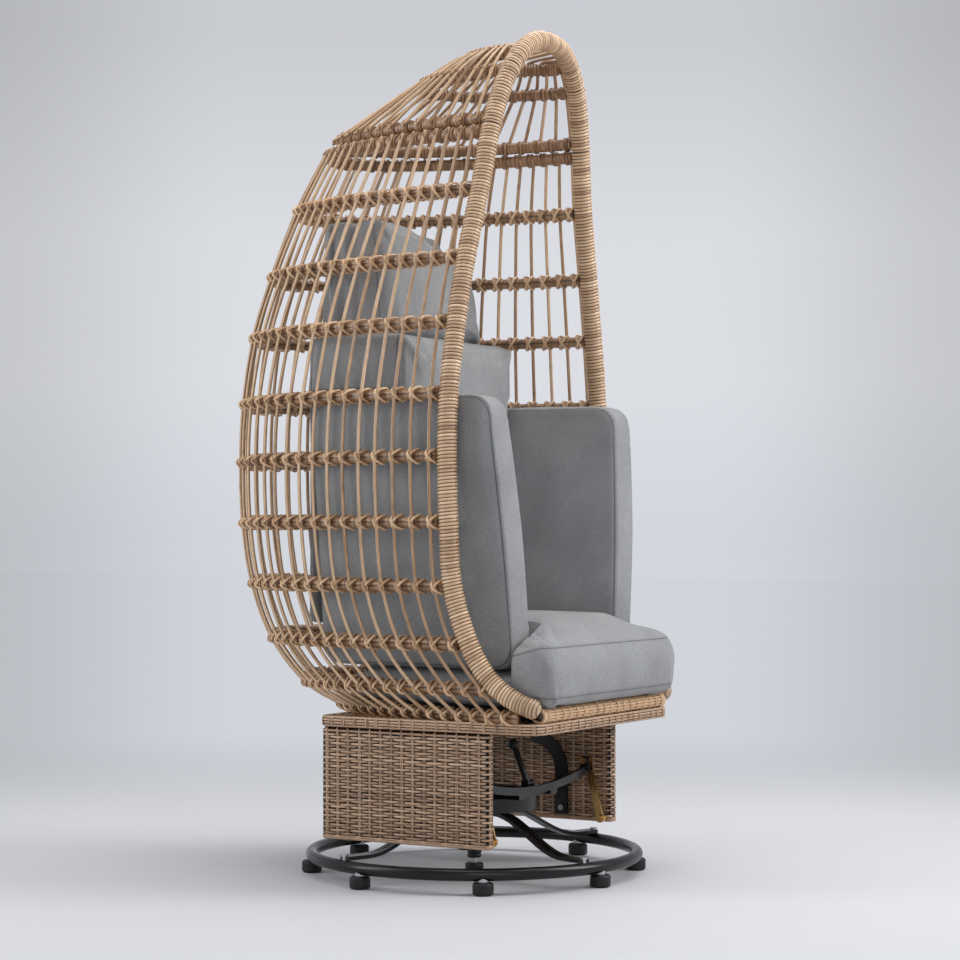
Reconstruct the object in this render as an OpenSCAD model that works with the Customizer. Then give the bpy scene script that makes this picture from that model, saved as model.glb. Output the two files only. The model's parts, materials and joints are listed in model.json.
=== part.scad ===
// Pod chair: a tall wicker egg on a woven deck that glides on four links
// over a swivelling cradle and a round footed base.
// Millimetres. The origin is on the floor under the swivel axis, the front
// of the chair faces -Y and +Z is up.

/* [Base] */
// Radius of the base ring's centreline
ring_r = 300; // [270:5:330]
// Diameter of the base ring's tube
ring_tube_d = 22; // [16:1:28]
// Number of feet under the ring
foot_count = 8; // [6:1:12]
// Diameter of a rubber foot
foot_d = 37; // [26:1:46]
// Height of a rubber foot
foot_h = 23; // [16:1:28]
// Thickness of the washer between a foot and the ring
washer_t = 1.5; // [1:0.25:3]
// Width of a leg
leg_w = 24; // [16:1:34]
// Thickness of a leg
leg_t = 7; // [5:0.5:9]
// Height of the hub plate's underside above the floor
hub_z = 116; // [112:1:120]
// Radius of the hub plate
hub_r = 62; // [50:1:80]
// Thickness of the hub plate
hub_t = 8; // [5:0.5:10]
// Radius of the column under the hub
column_r = 15; // [12:0.5:20]
// Diameter of the centre foot
centre_foot_d = 34; // [24:1:44]
// Height of the centre foot
centre_foot_h = 16; // [10:1:20]

/* [Swivel] */
// Radius of the swivel post
post_r = 11; // [8:0.5:13]
// Thickness of the swivel bearing
bearing_t = 8; // [6:0.5:9]
// Radius of the swivel dish
dish_r = 120; // [100:2:140]
// Height of the swivel dish's rim
dish_h = 26; // [20:1:28]
// Wall of the swivel dish
dish_wall = 4; // [3:0.5:6]

/* [Glide] */
// Height of the upper link pivots
upper_pivot_z = 195; // [190:1:200]
// Distance of the front upper pivots in front of the swivel axis
front_upper_y = 130; // [120:1:135]
// Distance of the rear upper pivots behind the swivel axis
rear_upper_y = 130; // [124:1:138]
// Vertical drop of a link between its pivots
link_drop = 109; // [104:1:112]
// Forward lean of a front link from pivot to pivot
front_lean = 26; // [20:1:32]
// Rearward lean of a rear link from pivot to pivot
rear_lean = 23; // [17:1:28]
// Distance of the links from the middle of the chair
link_x = 205; // [201:1:206]
// Thickness of a link
link_t = 4; // [3:0.5:5]
// Width of a link
link_w = 18; // [16:1:22]
// Radius of the link bolts
link_bolt_r = 4; // [3:0.25:5]
// Extra radius of the hole that takes up the glide's arc
float_r = 1.6; // [1.4:0.1:2.4]
// Height of the lowest line of the front and rear bows
bow_low_z = 158; // [156:1:166]
// Depth of the bows' flat bar
bow_bar_h = 14; // [10:1:16]
// Thickness of the bows' flat bar
bow_bar_t = 10; // [7:1:12]

/* [Lock lever] */
// Height of the lever's pivot
lever_pivot_z = 168; // [164:1:172]
// Height of the lever's knob above its pivot
lever_rise = 70; // [55:1:72]
// Lean of the lever away from the front
lever_back = 30; // [15:1:40]
// Diameter of the lever's tube
lever_d = 12; // [8:1:14]
// Diameter of the lever's knob
knob_d = 20; // [16:1:22]

/* [Deck] */
// Width of the deck
deck_w = 520; // [500:2:540]
// Distance of the deck's front edge from the swivel axis
deck_front = 277; // [270:1:284]
// Distance of the deck's rear edge from the swivel axis
deck_rear = 178; // [176:1:190]
// Height of the deck's underside above the floor
deck_z = 279; // [275:1:290]
// Thickness of the deck
deck_t = 20; // [16:1:24]
// Diameter of the front rail
rail_d = 25; // [20:1:28]
// Thickness of the slatted seat frame on the deck
slat_frame_t = 25; // [16:1:30]
// Distance from the middle of the chair to a side panel's outer face
panel_x = 250; // [246:1:256]
// Thickness of a side panel
panel_t = 30; // [26:1:32]
// Distance of a side panel's front edge from the swivel axis
panel_front = 172; // [168:1:176]
// Distance of a side panel's rear edge from the swivel axis
panel_rear = 176; // [172:1:180]
// Height of a side panel's lower edge above the floor
panel_z = 77; // [72:1:80]
// Wall of the woven skins
skin_t = 4; // [3:0.5:5]

/* [Pod] */
// Height of the rim's top centreline above the floor
pod_top = 1518; // [1450:5:1600]
// Height of the rim's front ends above the floor
pod_foot = 321; // [318:1:326]
// Widest half width of the rim's centreline
pod_half_w = 290; // [284:1:300]
// Distance of the shell's rearmost hoop from the swivel axis
pod_back = 478; // [440:2:520]
// Distance of the upright part of the rim in front of the swivel axis
rim_front = 112; // [105:1:120]
// How far the rim sweeps forward to its front ends
rim_sweep = 165; // [160:1:168]
// Diameter of the wrapped rim
rim_d = 35; // [28:1:38]
// Diameter of a wrapped hoop
hoop_d = 20; // [16:1:22]
// Diameter of the doubled hoops where the dome meets the shell
joint_hoop_d = 22; // [18:1:23]
// Diameter of an upright strand
strand_d = 6.6; // [5:0.2:8]
// Number of upright strands in the shell
shell_strands = 37; // [25:2:45]
// Number of upright strands in the dome
dome_strands = 29; // [19:2:31]

/* [Cushions] */
// Half width of the seat cushion
seat_half_w = 262; // [250:1:266]
// Distance of the seat cushion's front from the swivel axis
seat_front = 298; // [285:1:305]
// Distance of the seat cushion's rear from the swivel axis
seat_rear = 165; // [150:1:180]
// Thickness of the seat cushion
seat_t = 150; // [140:1:155]
// Height that the arm cushions press the seat cushion's sides down
seat_press = 90; // [80:1:100]
// Thickness of an arm cushion
arm_t = 90; // [80:1:96]
// Height of an arm cushion
arm_h = 484; // [440:2:500]
// Depth of an arm cushion
arm_depth = 420; // [390:2:430]
// How much farther apart the arm cushions stand at their tops
arm_spread = 52; // [40:1:60]
// Turn of an arm cushion towards the back of the pod, in degrees
arm_toe = 5; // [4:0.5:7]
// Half width of the back cushion above the arm cushions
back_half_w = 200; // [185:1:205]
// Height of the back cushion
back_h = 528; // [500:2:540]
// Thickness of the back cushion
back_t = 230; // [200:2:240]
// Half width of the head cushion
head_half_w = 158; // [140:1:162]
// Height of the head cushion
head_h = 218; // [190:2:225]
// Thickness of the head cushion
head_t = 180; // [150:2:190]

/* [Hidden] */
$fn = 48;

// Running gap between two faces that move past each other, or that must not meet
gap = 0.3;
// Running gap between a shaft and its hole
fit = 0.05;
// Overrun of every cut
over = 1;

black = [0.14, 0.14, 0.15];
rubber = [0.09, 0.09, 0.09];
brass = [0.68, 0.5, 0.24];
silver = [0.72, 0.72, 0.72];
wicker = [0.68, 0.53, 0.39];
weave = [0.58, 0.46, 0.36];
fabric = [0.47, 0.48, 0.49];

// The rim's right half from its front end to its top, as shares of its half
// width, of its forward sweep and of its height
rim_half_shares = [
    [0.879, 1.000, 0.000], [0.903, 0.703, 0.016], [0.924, 0.442, 0.044], [0.959, 0.236, 0.094],
    [0.983, 0.061, 0.177], [1.000, 0.030, 0.271], [1.000, 0.012, 0.366], [0.969, 0.000, 0.457],
    [0.893, 0.012, 0.561], [0.797, 0.036, 0.658], [0.676, 0.079, 0.760], [0.583, 0.130, 0.8565],
    [0.480, 0.186, 0.923], [0.345, 0.230, 0.968], [0.180, 0.255, 0.994], [0.000, 0.260, 1.000]
];

// Heights of the stack from the floor up
ring_z = foot_h + washer_t + ring_tube_d / 2;
leg_count = foot_count / 2;
hub_top = hub_z + hub_t;
dish_top = hub_top + bearing_t + dish_h / 2;
deck_top = deck_z + deck_t;
seat_z = deck_top + slat_frame_t + gap;

// Round solid between two heights, and the same with a hole through it
module post(r, low, high) {
    translate([0, 0, low])
        cylinder(r = r, h = high - low);
}
module collar(outer, inner, low, high) {
    difference() {
        post(outer, low, high);
        post(inner, low - over, high + over);
    }
}
// Cylinder along X between two places
module bar_x(r, low, high) {
    translate([low, 0, 0])
        rotate([0, 90, 0])
            cylinder(r = r, h = high - low);
}
// Box given by two corners
module block(low, high) {
    translate(low)
        cube(high - low);
}
// The same piece on both sides of the chair
module both_sides() {
    children();
    mirror([1, 0, 0])
        children();
}

// Base
module base_ring() color(black)
    translate([0, 0, ring_z])
        rotate_extrude($fn = 96)
            translate([ring_r, 0])
                circle(d = ring_tube_d);

// Turns of the first foot and the first leg, as shares of the angle between two
foot_turn_share = 0.733;
leg_turn_share = 0.778;
module at_feet() {
    for (i = [0 : foot_count - 1])
        rotate(360 * (i + foot_turn_share) / foot_count)
            translate([ring_r, 0, 0])
                children();
}

// Side outline of a rubber puck: flat faces and a round side
module puck(d, low, high) {
    side = (high - low) / 4;
    translate([0, 0, low])
        rotate_extrude() {
            square([d / 2 - side, high - low]);
            translate([0, side])
                square([d / 2, high - low - 2 * side]);
            for (z = [side, high - low - side])
                translate([d / 2 - side, z])
                    circle(r = side, $fn = 24);
        }
}
module foot_pads() color(rubber)
    at_feet()
        puck(foot_d, 0, foot_h);
module foot_washers() color(silver)
    at_feet()
        difference() {
            post(foot_d / 4, foot_h, ring_z - ring_tube_d / 4);
            translate([-ring_r, 0, ring_z])
                rotate_extrude($fn = 96)
                    translate([ring_r, 0])
                        circle(d = ring_tube_d + 2 * fit);
        }

// A leg falls from the hub plate to the ring in an S
leg_inner = hub_r * 0.6;
leg_foot_z = ring_z + ring_tube_d / 2;
leg_high_z = hub_z - leg_t;
leg_run = ring_r - leg_inner;
leg_steps = 18;
// A leg lies level under the hub and over the ring, and falls between these shares of its run
leg_fall_shares = [0.1, 0.82];
function leg_line(s) = let (
    t = max(0, min(1, (s - leg_fall_shares[0]) / (leg_fall_shares[1] - leg_fall_shares[0]))))
    leg_foot_z + (leg_high_z - leg_foot_z) * (1 + cos(180 * t)) / 2;
module leg_outline(inset) {
    polygon(concat(
        [for (i = [0 : leg_steps]) [leg_inner + leg_run * i / leg_steps, leg_line(i / leg_steps) + inset]],
        [for (i = [leg_steps : -1 : 0])
            [leg_inner + leg_run * i / leg_steps, leg_line(i / leg_steps) + leg_t - inset]]
    ));
}
module leg_bar(w, inset) {
    translate([0, w / 2, 0])
        rotate([90, 0, 0])
            linear_extrude(w)
                leg_outline(inset);
}
module at_legs() {
    for (i = [0 : leg_count - 1])
        rotate(360 * (i + leg_turn_share) / leg_count)
            children();
}
bolt_r = leg_t / 2;
leg_bolt_places = [leg_inner + bolt_r * 3, ring_r];
groove_w = leg_w / 8;
module base_legs() color(black)
    at_legs()
        difference() {
            union() {
                for (side = [-1, 1])
                    translate([0, side * (leg_w + groove_w) / 4, 0])
                        leg_bar((leg_w - groove_w) / 2, 0);
                leg_bar(leg_w / 2, leg_t / 4);
            }
            for (x = leg_bolt_places)
                translate([x, 0, 0])
                    post(bolt_r + gap, 0, hub_z);
        }
module leg_bolts() color(silver)
    at_legs() {
        translate([leg_bolt_places[0], 0, 0]) {
            post(bolt_r, leg_high_z, hub_z);
            post(bolt_r * 2, leg_high_z - bolt_r, leg_high_z);
        }
        translate([leg_bolt_places[1], 0, 0]) {
            post(bolt_r, leg_foot_z, leg_foot_z + leg_t);
            post(bolt_r * 2, leg_foot_z + leg_t, leg_foot_z + leg_t + bolt_r);
        }
    }

bellows_low = centre_foot_h * 1.6;
bellows_high = hub_z * 0.6;
bellows_ribs = 6;
rib_h = (bellows_high - bellows_low) / bellows_ribs;
stem_r = column_r / 2.5;
stem_depth = hub_z * 0.12;
module hub() color(black)
    difference() {
        union() {
            post(hub_r, hub_z, hub_top);
            post(column_r, bellows_high, hub_z);
            post(post_r * 2, hub_top, hub_top + bearing_t / 2);
        }
        post(post_r + fit, bellows_high + stem_depth, hub_top + bearing_t + over);
    }
module swivel_bearing() color(silver)
    collar(hub_r * 0.8, hub_r * 0.55, hub_top, hub_top + bearing_t - gap);
module centre_bellows() color(rubber)
    difference() {
        union()
            for (i = [0 : bellows_ribs - 1])
                translate([0, 0, bellows_low + rib_h * i]) {
                    cylinder(r1 = column_r * 0.78, r2 = column_r * 0.92, h = rib_h / 2);
                    translate([0, 0, rib_h / 2])
                        cylinder(r1 = column_r * 0.92, r2 = column_r * 0.78, h = rib_h / 2);
                }
        post(stem_r + gap, bellows_low - over, bellows_high + over);
    }
module centre_stem() color(silver)
    post(stem_r, centre_foot_h, bellows_high);
module centre_foot() color(rubber)
    puck(centre_foot_d, 0, centre_foot_h);

// Swivel
dish_low = hub_top + bearing_t;
module swivel_dish() color(black)
    difference() {
        post(dish_r, dish_top - dish_h, dish_top);
        post(dish_r - dish_wall, dish_top - dish_h - over, dish_low);
        post(post_r, dish_low - over, dish_top + over);
    }
module swivel_post() color(silver)
    post(post_r, bellows_high + stem_depth + gap, dish_top);

// Cradle: two rails on the dish carry a dipping bow at each end
rail_x = dish_r / 2;
rail_w = bow_bar_t * 2.4;
eye_r = link_w / 2;
plate_t = bow_bar_t * 0.8;
spacer_t = link_t * 1.5;
eye_x = link_x - link_t / 2 - gap - spacer_t - plate_t;
bow_chord = eye_x + plate_t;
bow_end_z = upper_pivot_z - eye_r - bow_bar_h / 2;
bow_sag = bow_end_z - bow_low_z;
bow_r = (bow_chord * bow_chord + bow_sag * bow_sag) / (2 * bow_sag);
module bow(y) {
    intersection() {
        translate([0, y, bow_low_z + bow_r])
            rotate([90, 0, 0])
                rotate_extrude($fn = 360)
                    translate([bow_r - bow_bar_h / 2, -bow_bar_t / 2])
                        square([bow_bar_h, bow_bar_t]);
        block([-bow_chord, y - bow_bar_t, bow_low_z - bow_bar_h],
              [bow_chord, y + bow_bar_t, bow_end_z + bow_bar_h / 2]);
    }
    both_sides()
        difference() {
            union() {
                translate([0, y, upper_pivot_z])
                    bar_x(eye_r, eye_x, bow_chord);
                block([eye_x, y - eye_r, bow_end_z - bow_bar_h / 4], [bow_chord, y + eye_r, upper_pivot_z]);
            }
            translate([0, y, upper_pivot_z])
                bar_x(link_bolt_r, eye_x - over, bow_chord + over);
        }
}
module front_bow() color(black)
    bow(-front_upper_y);
module rear_bow() color(black)
    bow(rear_upper_y);
bow_under_z = bow_low_z - bow_bar_h / 2;
rail_seat = bow_bar_h / 3;
module cradle_rails() color(black) {
    both_sides()
        difference() {
            block([rail_x - rail_w / 2, -front_upper_y - bow_bar_t / 2, dish_top],
                  [rail_x + rail_w / 2, rear_upper_y + bow_bar_t / 2, bow_under_z + rail_seat]);
            for (y = [-front_upper_y, rear_upper_y])
                translate([0, y, bow_low_z + bow_r])
                    rotate([90, 0, 0])
                        translate([0, 0, -bow_bar_t / 2 - over])
                            cylinder(r = bow_r + bow_bar_h / 2, h = bow_bar_t + 2 * over, $fn = 360);
        }
    block([-rail_x + rail_w / 2, -front_upper_y + bow_bar_t / 2 + gap, dish_top],
          [rail_x - rail_w / 2, -front_upper_y + bow_bar_t / 2 + gap + rail_w, dish_top + plate_t]);
}
module upper_link_bolts() color(brass)
    both_sides()
        for (y = [-front_upper_y, rear_upper_y])
            translate([0, y, upper_pivot_z]) {
                bar_x(link_bolt_r, eye_x - spacer_t, link_x + link_t);
                bar_x(eye_r * 0.7, link_x + link_t / 2 + gap, link_x + link_t * 1.5);
                bar_x(eye_r * 0.7, eye_x - spacer_t, eye_x);
                difference() {
                    bar_x(eye_r * 0.7, eye_x + plate_t, link_x - link_t / 2 - gap);
                    bar_x(link_bolt_r, eye_x, link_x);
                }
            }

// Lock lever, pivoted in a clevis on the cradle's cross plate
lever_y = -front_upper_y + bow_bar_t / 2 + gap + rail_w / 2;
lever_pin_r = lever_d / 4;
ear_t = lever_d / 3;
ear_x = lever_d * 0.65;
lever_angle = atan2(lever_back, lever_rise);
module lever_clevis() color(black)
    translate([0, lever_y, 0]) {
        both_sides()
            block([ear_x, -lever_d * 0.6, dish_top + plate_t],
                  [ear_x + ear_t, lever_d * 0.6, lever_pivot_z + lever_d * 0.6]);
        translate([0, 0, lever_pivot_z])
            bar_x(lever_pin_r, -ear_x - ear_t / 2, ear_x + ear_t / 2);
    }
module lock_lever() color(black)
    translate([0, lever_y, lever_pivot_z])
        difference() {
            union() {
                bar_x(lever_d * 0.6, -ear_x + gap, ear_x - gap);
                rotate([-lever_angle, 0, 0])
                    cylinder(d = lever_d, h = norm([lever_back, lever_rise]) - knob_d / 2);
            }
            bar_x(lever_pin_r + fit, -ear_x - over, ear_x + over);
        }
module lever_knob() color(rubber)
    translate([0, lever_y + lever_back, lever_pivot_z + lever_rise])
        difference() {
            sphere(d = knob_d);
            rotate([-lever_angle, 0, 0])
                translate([0, 0, -knob_d])
                    cylinder(d = lever_d + 2 * fit, h = knob_d / 2);
        }

// Glide links: flat bars with a boss ring at each pivot
lower_pivot_z = upper_pivot_z - link_drop;
front_lower_y = -front_upper_y - front_lean;
rear_lower_y = rear_upper_y + rear_lean;
module link(upper_y, lower_y, lower_hole) {
    lean = atan2(lower_y - upper_y, link_drop);
    length = norm([lower_y - upper_y, link_drop]);
    translate([link_x - link_t / 2, upper_y, upper_pivot_z])
        rotate([lean, 0, 0])
            rotate([0, 90, 0])
                difference() {
                    union() {
                        cylinder(r = eye_r, h = link_t);
                        translate([length, 0, 0])
                            cylinder(r = eye_r, h = link_t);
                        translate([0, -eye_r * 0.8, 0])
                            cube([length, eye_r * 1.6, link_t]);
                    }
                    translate([0, 0, -over])
                        cylinder(r = link_bolt_r + fit, h = link_t + 2 * over);
                    translate([length, 0, -over])
                        cylinder(r = lower_hole, h = link_t + 2 * over);
                }
}
module front_links() color(brass)
    both_sides()
        link(-front_upper_y, front_lower_y, link_bolt_r + fit);
module rear_links() color(brass)
    both_sides()
        link(rear_upper_y, rear_lower_y, link_bolt_r + float_r);
panel_in = panel_x - panel_t;
module lower_link_bolts() color(brass)
    both_sides()
        for (y = [front_lower_y, rear_lower_y])
            translate([0, y, lower_pivot_z]) {
                bar_x(link_bolt_r, link_x - link_t * 2, panel_in);
                bar_x(eye_r * 0.7, link_x - link_t * 2, link_x - link_t / 2 - gap);
                bar_x(eye_r * 0.8, link_x + link_t / 2 + gap, panel_in);
            }

// Side panels: a woven skin round a steel frame, stiffened by a curved brace
module panel_box(inset) {
    block([panel_in + inset, -panel_front + inset, panel_z + inset],
          [panel_x - inset, panel_rear - inset, deck_z - inset]);
}
module panel_skin() color(weave)
    difference() {
        panel_box(0);
        panel_box(skin_t);
    }
module right_panel_skin()
    mirror([1, 0, 0])
        panel_skin();
module left_panel_skin()
    panel_skin();
frame_bar = panel_t - 2 * skin_t - 2 * gap;
module panel_frames() color(black)
    both_sides()
        difference() {
            panel_box(skin_t + gap);
            block([panel_in, -panel_front + skin_t + frame_bar, panel_z + skin_t + frame_bar],
                  [panel_x, panel_rear - skin_t - frame_bar, deck_z - skin_t - frame_bar]);
        }
brace_r = link_drop * 0.62;
brace_w = link_w * 1.4;
brace_t = link_t * 1.4;
brace_low = lower_pivot_z + link_w * 0.8;
module panel_braces() color(black)
    both_sides()
        translate([panel_in - brace_t, 0, 0])
            rotate([90, 0, 90])
                linear_extrude(brace_t)
                    brace_outline();
brace_top_z = brace_low + brace_r * 2;
module brace_outline() {
    difference() {
        translate([0, brace_top_z - brace_r])
            circle(r = brace_r + brace_w / 2);
        translate([0, brace_top_z - brace_r])
            circle(r = brace_r - brace_w / 2);
        translate([0, brace_low - brace_r])
            square([brace_r * 2, brace_r * 4]);
        translate([-brace_r * 2, brace_low - brace_r])
            square([brace_r * 4, brace_r * 2]);
    }
    translate([-brace_r - brace_w / 2, brace_low - brace_w / 2])
        square([brace_w, brace_r + brace_w / 2]);
}
module brace_bolts() color(silver)
    both_sides()
        translate([0, -brace_r, brace_low])
            bar_x(bolt_r * 1.5, panel_in - brace_t - bolt_r, panel_in - brace_t);

// Deck: a woven skin round a steel frame, with a rail along the front
deck_corner = deck_t * 1.5;
module deck_outline(inset) {
    half = deck_w / 2 - inset;
    r = deck_corner - inset;
    for (x = [-1, 1], y = [-deck_front + inset + r, deck_rear - inset - r])
        translate([x * (half - r), y])
            circle(r = r);
    translate([-half, -deck_front + inset + r])
        square([2 * half, deck_front + deck_rear - 2 * inset - 2 * r]);
    translate([-half + r, -deck_front + inset])
        square([2 * half - 2 * r, deck_front + deck_rear - 2 * inset]);
}
module deck_plate(inset, low, high) {
    translate([0, 0, low])
        linear_extrude(high - low)
            deck_outline(inset);
}
deck_skin_t = skin_t / 2;
module deck_skin() color(weave)
    difference() {
        deck_plate(0, deck_z, deck_top);
        deck_plate(deck_skin_t, deck_z + deck_skin_t, deck_top - deck_skin_t);
    }
deck_bar = deck_corner * 0.8;
module deck_frame() color(black)
    difference() {
        deck_plate(deck_skin_t + gap, deck_z + deck_skin_t + gap, deck_top - deck_skin_t - gap);
        both_sides()
            block([deck_bar / 2, -deck_front + deck_bar, deck_z],
                  [deck_w / 2 - deck_bar, deck_rear - deck_bar, deck_top]);
    }
front_rail_y = -deck_front + rail_d / 2;
front_rail_z = deck_top + rail_d / 2;
front_rail_end = rim_half_shares[0][0] * pod_half_w - rim_d / 2 - gap;
module front_rail() color(wicker)
    translate([0, front_rail_y, front_rail_z])
        bar_x(rail_d / 2, -front_rail_end, front_rail_end);
collar_w = rail_d / 2;
collar_t = rail_d / 12;
module rail_collars() color(wicker)
    both_sides()
        translate([0, front_rail_y, front_rail_z])
            difference() {
                bar_x(rail_d / 2 + collar_t, front_rail_end - collar_w, front_rail_end);
                bar_x(rail_d / 2 + fit, 0, front_rail_end + over);
                translate([0, 0, -rail_d])
                    block([0, -rail_d, 0], [front_rail_end + over, rail_d, rail_d / 2]);
            }

// Slatted frame that the seat cushion lies on
slat_half_w = seat_half_w - arm_t + collar_t * 2;
slat_front = deck_front - rail_d - 2 * collar_t;
slat_rear = seat_rear * 0.36;
slat_w = slat_frame_t * 1.6;
slat_count = 5;
module slat_frame() color(black) {
    difference() {
        block([-slat_half_w, -slat_front, deck_top], [slat_half_w, slat_rear, deck_top + slat_frame_t]);
        block([-slat_half_w + slat_frame_t, -slat_front + slat_frame_t, deck_top - over],
              [slat_half_w - slat_frame_t, slat_rear - slat_frame_t, deck_top + slat_frame_t + over]);
    }
    slat_run = slat_front + slat_rear - 2 * slat_frame_t;
    for (i = [0 : slat_count - 1])
        translate([0, -slat_front + slat_frame_t + slat_run * (i + 0.5) / slat_count, 0])
            block([-slat_half_w + slat_frame_t / 2, -slat_w / 2, deck_top + slat_frame_t * 0.8],
                  [slat_half_w - slat_frame_t / 2, slat_w / 2, deck_top + slat_frame_t]);
}
catch_w = lever_d * 1.6;
catch_drop = deck_t * 0.8;
module lock_catch() color(silver)
    translate([0, lever_y + lever_back, 0])
        difference() {
            block([-catch_w / 2, -catch_w / 2, deck_z - catch_drop], [catch_w / 2, catch_w / 2, deck_z]);
            block([-catch_w / 4, -catch_w, deck_z - catch_drop - over],
                  [catch_w / 4, catch_w, deck_z - catch_drop / 3]);
        }

// Curves
function unit(v) = v / norm(v);
function last(v) = v[len(v) - 1];
// Point on the smooth curve through p, between p[i] and p[i + 1]
function between(p, i, t) = let (
    a = p[max(i - 1, 0)], b = p[i], c = p[min(i + 1, len(p) - 1)], d = p[min(i + 2, len(p) - 1)])
    (2 * b + (c - a) * t + (2 * a - 5 * b + 4 * c - d) * t * t
     + (3 * b - a - 3 * c + d) * t * t * t) / 2;
function smooth(p, steps) = concat(
    [for (i = [0 : len(p) - 2], k = [0 : steps - 1]) between(p, i, k / steps)], [last(p)]);
function tangents(p) = [for (i = [0 : len(p) - 1])
    unit(p[min(i + 1, len(p) - 1)] - p[max(i - 1, 0)])];
// Side direction of every ring, carried along the path without twist
function sides_along(t, start) = [
    for (i = 0, n = unit(start - t[0] * (start * t[0]));
         i < len(t);
         i = i + 1, n = i < len(t) ? unit(n - t[i] * (n * t[i])) : n) n];

// Round bar along a path, with flat ends square to it
module tube(path, d, sides, along = undef, start = [1, 0, 0]) {
    t = is_undef(along) ? tangents(path) : along;
    n = sides_along(t, start);
    rings = len(path);
    points = [for (i = [0 : rings - 1], k = [0 : sides - 1])
        path[i] + d / 2 * (cos(360 * k / sides) * n[i] + sin(360 * k / sides) * cross(t[i], n[i]))];
    walls = [for (i = [0 : rings - 2], k = [0 : sides - 1]) let (
        a = i * sides + k, b = a + sides, next = i * sides + (k + 1) % sides, c = next + sides)
        each [[a, b, c], [a, c, next]]];
    end = (rings - 1) * sides;
    caps = [for (k = [1 : sides - 2]) each [[0, k, k + 1], [end, end + k + 1, end + k]]];
    polyhedron(points, concat(walls, caps));
}

seam_row = 11;
rim_steps = 3;
pod_h = pod_top - pod_foot;
rim_rows = [for (s = rim_half_shares)
    [pod_half_w * s[0], -rim_front - rim_sweep * s[1], pod_foot + pod_h * s[2]]];
mirrored_rows = [for (i = [len(rim_rows) - 2 : -1 : 0]) [-rim_rows[i].x, rim_rows[i].y, rim_rows[i].z]];
rim_path = smooth(concat(rim_rows, mirrored_rows), rim_steps);
rim_along = tangents(rim_path);
rim_half_count = (len(rim_rows) - 1) * rim_steps;
seam_index = seam_row * rim_steps;
rim_sides = 10;
module rim_part(from, to) color(wicker)
    tube([for (i = [from : to]) rim_path[i]], rim_d, rim_sides, [for (i = [from : to]) rim_along[i]]);
module left_rim()
    rim_part(0, seam_index);
module right_rim()
    rim_part(len(rim_path) - 1 - seam_index, len(rim_path) - 1);
module dome_rim() color(wicker) {
    from = seam_index;
    to = len(rim_path) - 1 - seam_index;
    path = [for (i = [from : to]) rim_path[i]
        + (i == from ? rim_along[i] * gap : i == to ? -rim_along[i] * gap : [0, 0, 0])];
    tube(path, rim_d, rim_sides, [for (i = [from : to]) rim_along[i]]);
}
// The rim's place at a height: how far out, how far forward, how much it leans
rim_out = [for (i = [0 : rim_half_count]) [rim_path[i].z, rim_path[i].x]];
rim_fore = [for (i = [0 : rim_half_count]) [rim_path[i].z, rim_path[i].y]];
rim_lean = [for (i = [0 : rim_half_count])
    [rim_path[i].z, abs(rim_along[i].y) / norm([rim_along[i].x, rim_along[i].z])]];

// Hoops from the crown down, as shares of the rim's height and of the pod's back
hoop_height_shares = [0.974, 0.9415, 0.8667, 0.8463, 0.7598, 0.6575, 0.5614,
    0.457, 0.3659, 0.2707, 0.1771, 0.0936, 0.0292];
hoop_back_shares = [0, 0.199, 0.577, 0.627, 0.764, 0.874, 0.954,
    0.992, 1.0, 0.99, 0.946, 0.854, 0.705, 0.533];
hoop_sides = 6;
hoop_heights = concat([for (s = hoop_height_shares) pod_foot + pod_h * s], [deck_top + hoop_d / 2 * cos(180 / hoop_sides) + gap]);
dome_base = 2;
shell_top = 3;
hoop_total = len(hoop_heights);
function hoop_size(j) = j == dome_base || j == shell_top ? joint_hoop_d : hoop_d;
hoop_half_w = [for (z = hoop_heights) lookup(z, rim_out)];
hoop_fore = [for (z = hoop_heights) lookup(z, rim_fore)];
hoop_reach = [for (j = [0 : hoop_total - 1]) pod_back * hoop_back_shares[j] - hoop_fore[j]];
// Point of hoop j at an angle from the right side, over the back, to the left
function hoop_point(j, angle) = [
    -hoop_half_w[j] * cos(angle), hoop_fore[j] + hoop_reach[j] * sin(angle), hoop_heights[j]];
// Most that a hoop starts behind the rim's centreline, and the same for the hoop on the deck
start_share = 0.97;
deck_start_share = 1.2;
function hoop_start(j) = let (lean = lookup(hoop_heights[j], rim_lean),
    out = min(rim_d * (j == hoop_total - 1 ? deck_start_share : start_share), rim_d / 2 * norm([1, lean]) + hoop_size(j) / 2 * lean))
    asin(out / hoop_reach[j]);
hoop_rings = 20;
module hoop(j) color(wicker) {
    from = hoop_start(j);
    tube([for (i = [0 : hoop_rings]) hoop_point(j, from + (180 - 2 * from) * i / hoop_rings)],
        hoop_size(j), hoop_sides);
}
module crown_hoop() hoop(0);
module dome_hoop() hoop(1);
module dome_base_hoop() hoop(dome_base);
module shell_top_hoop() hoop(shell_top);
module shell_hoop(i) hoop(shell_top + i);
module shell_hoop_1() shell_hoop(1);
module shell_hoop_2() shell_hoop(2);
module shell_hoop_3() shell_hoop(3);
module shell_hoop_4() shell_hoop(4);
module shell_hoop_5() shell_hoop(5);
module shell_hoop_6() shell_hoop(6);
module shell_hoop_7() shell_hoop(7);
module shell_hoop_8() shell_hoop(8);
module shell_hoop_9() shell_hoop(9);
module shell_hoop_10() shell_hoop(10);

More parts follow.
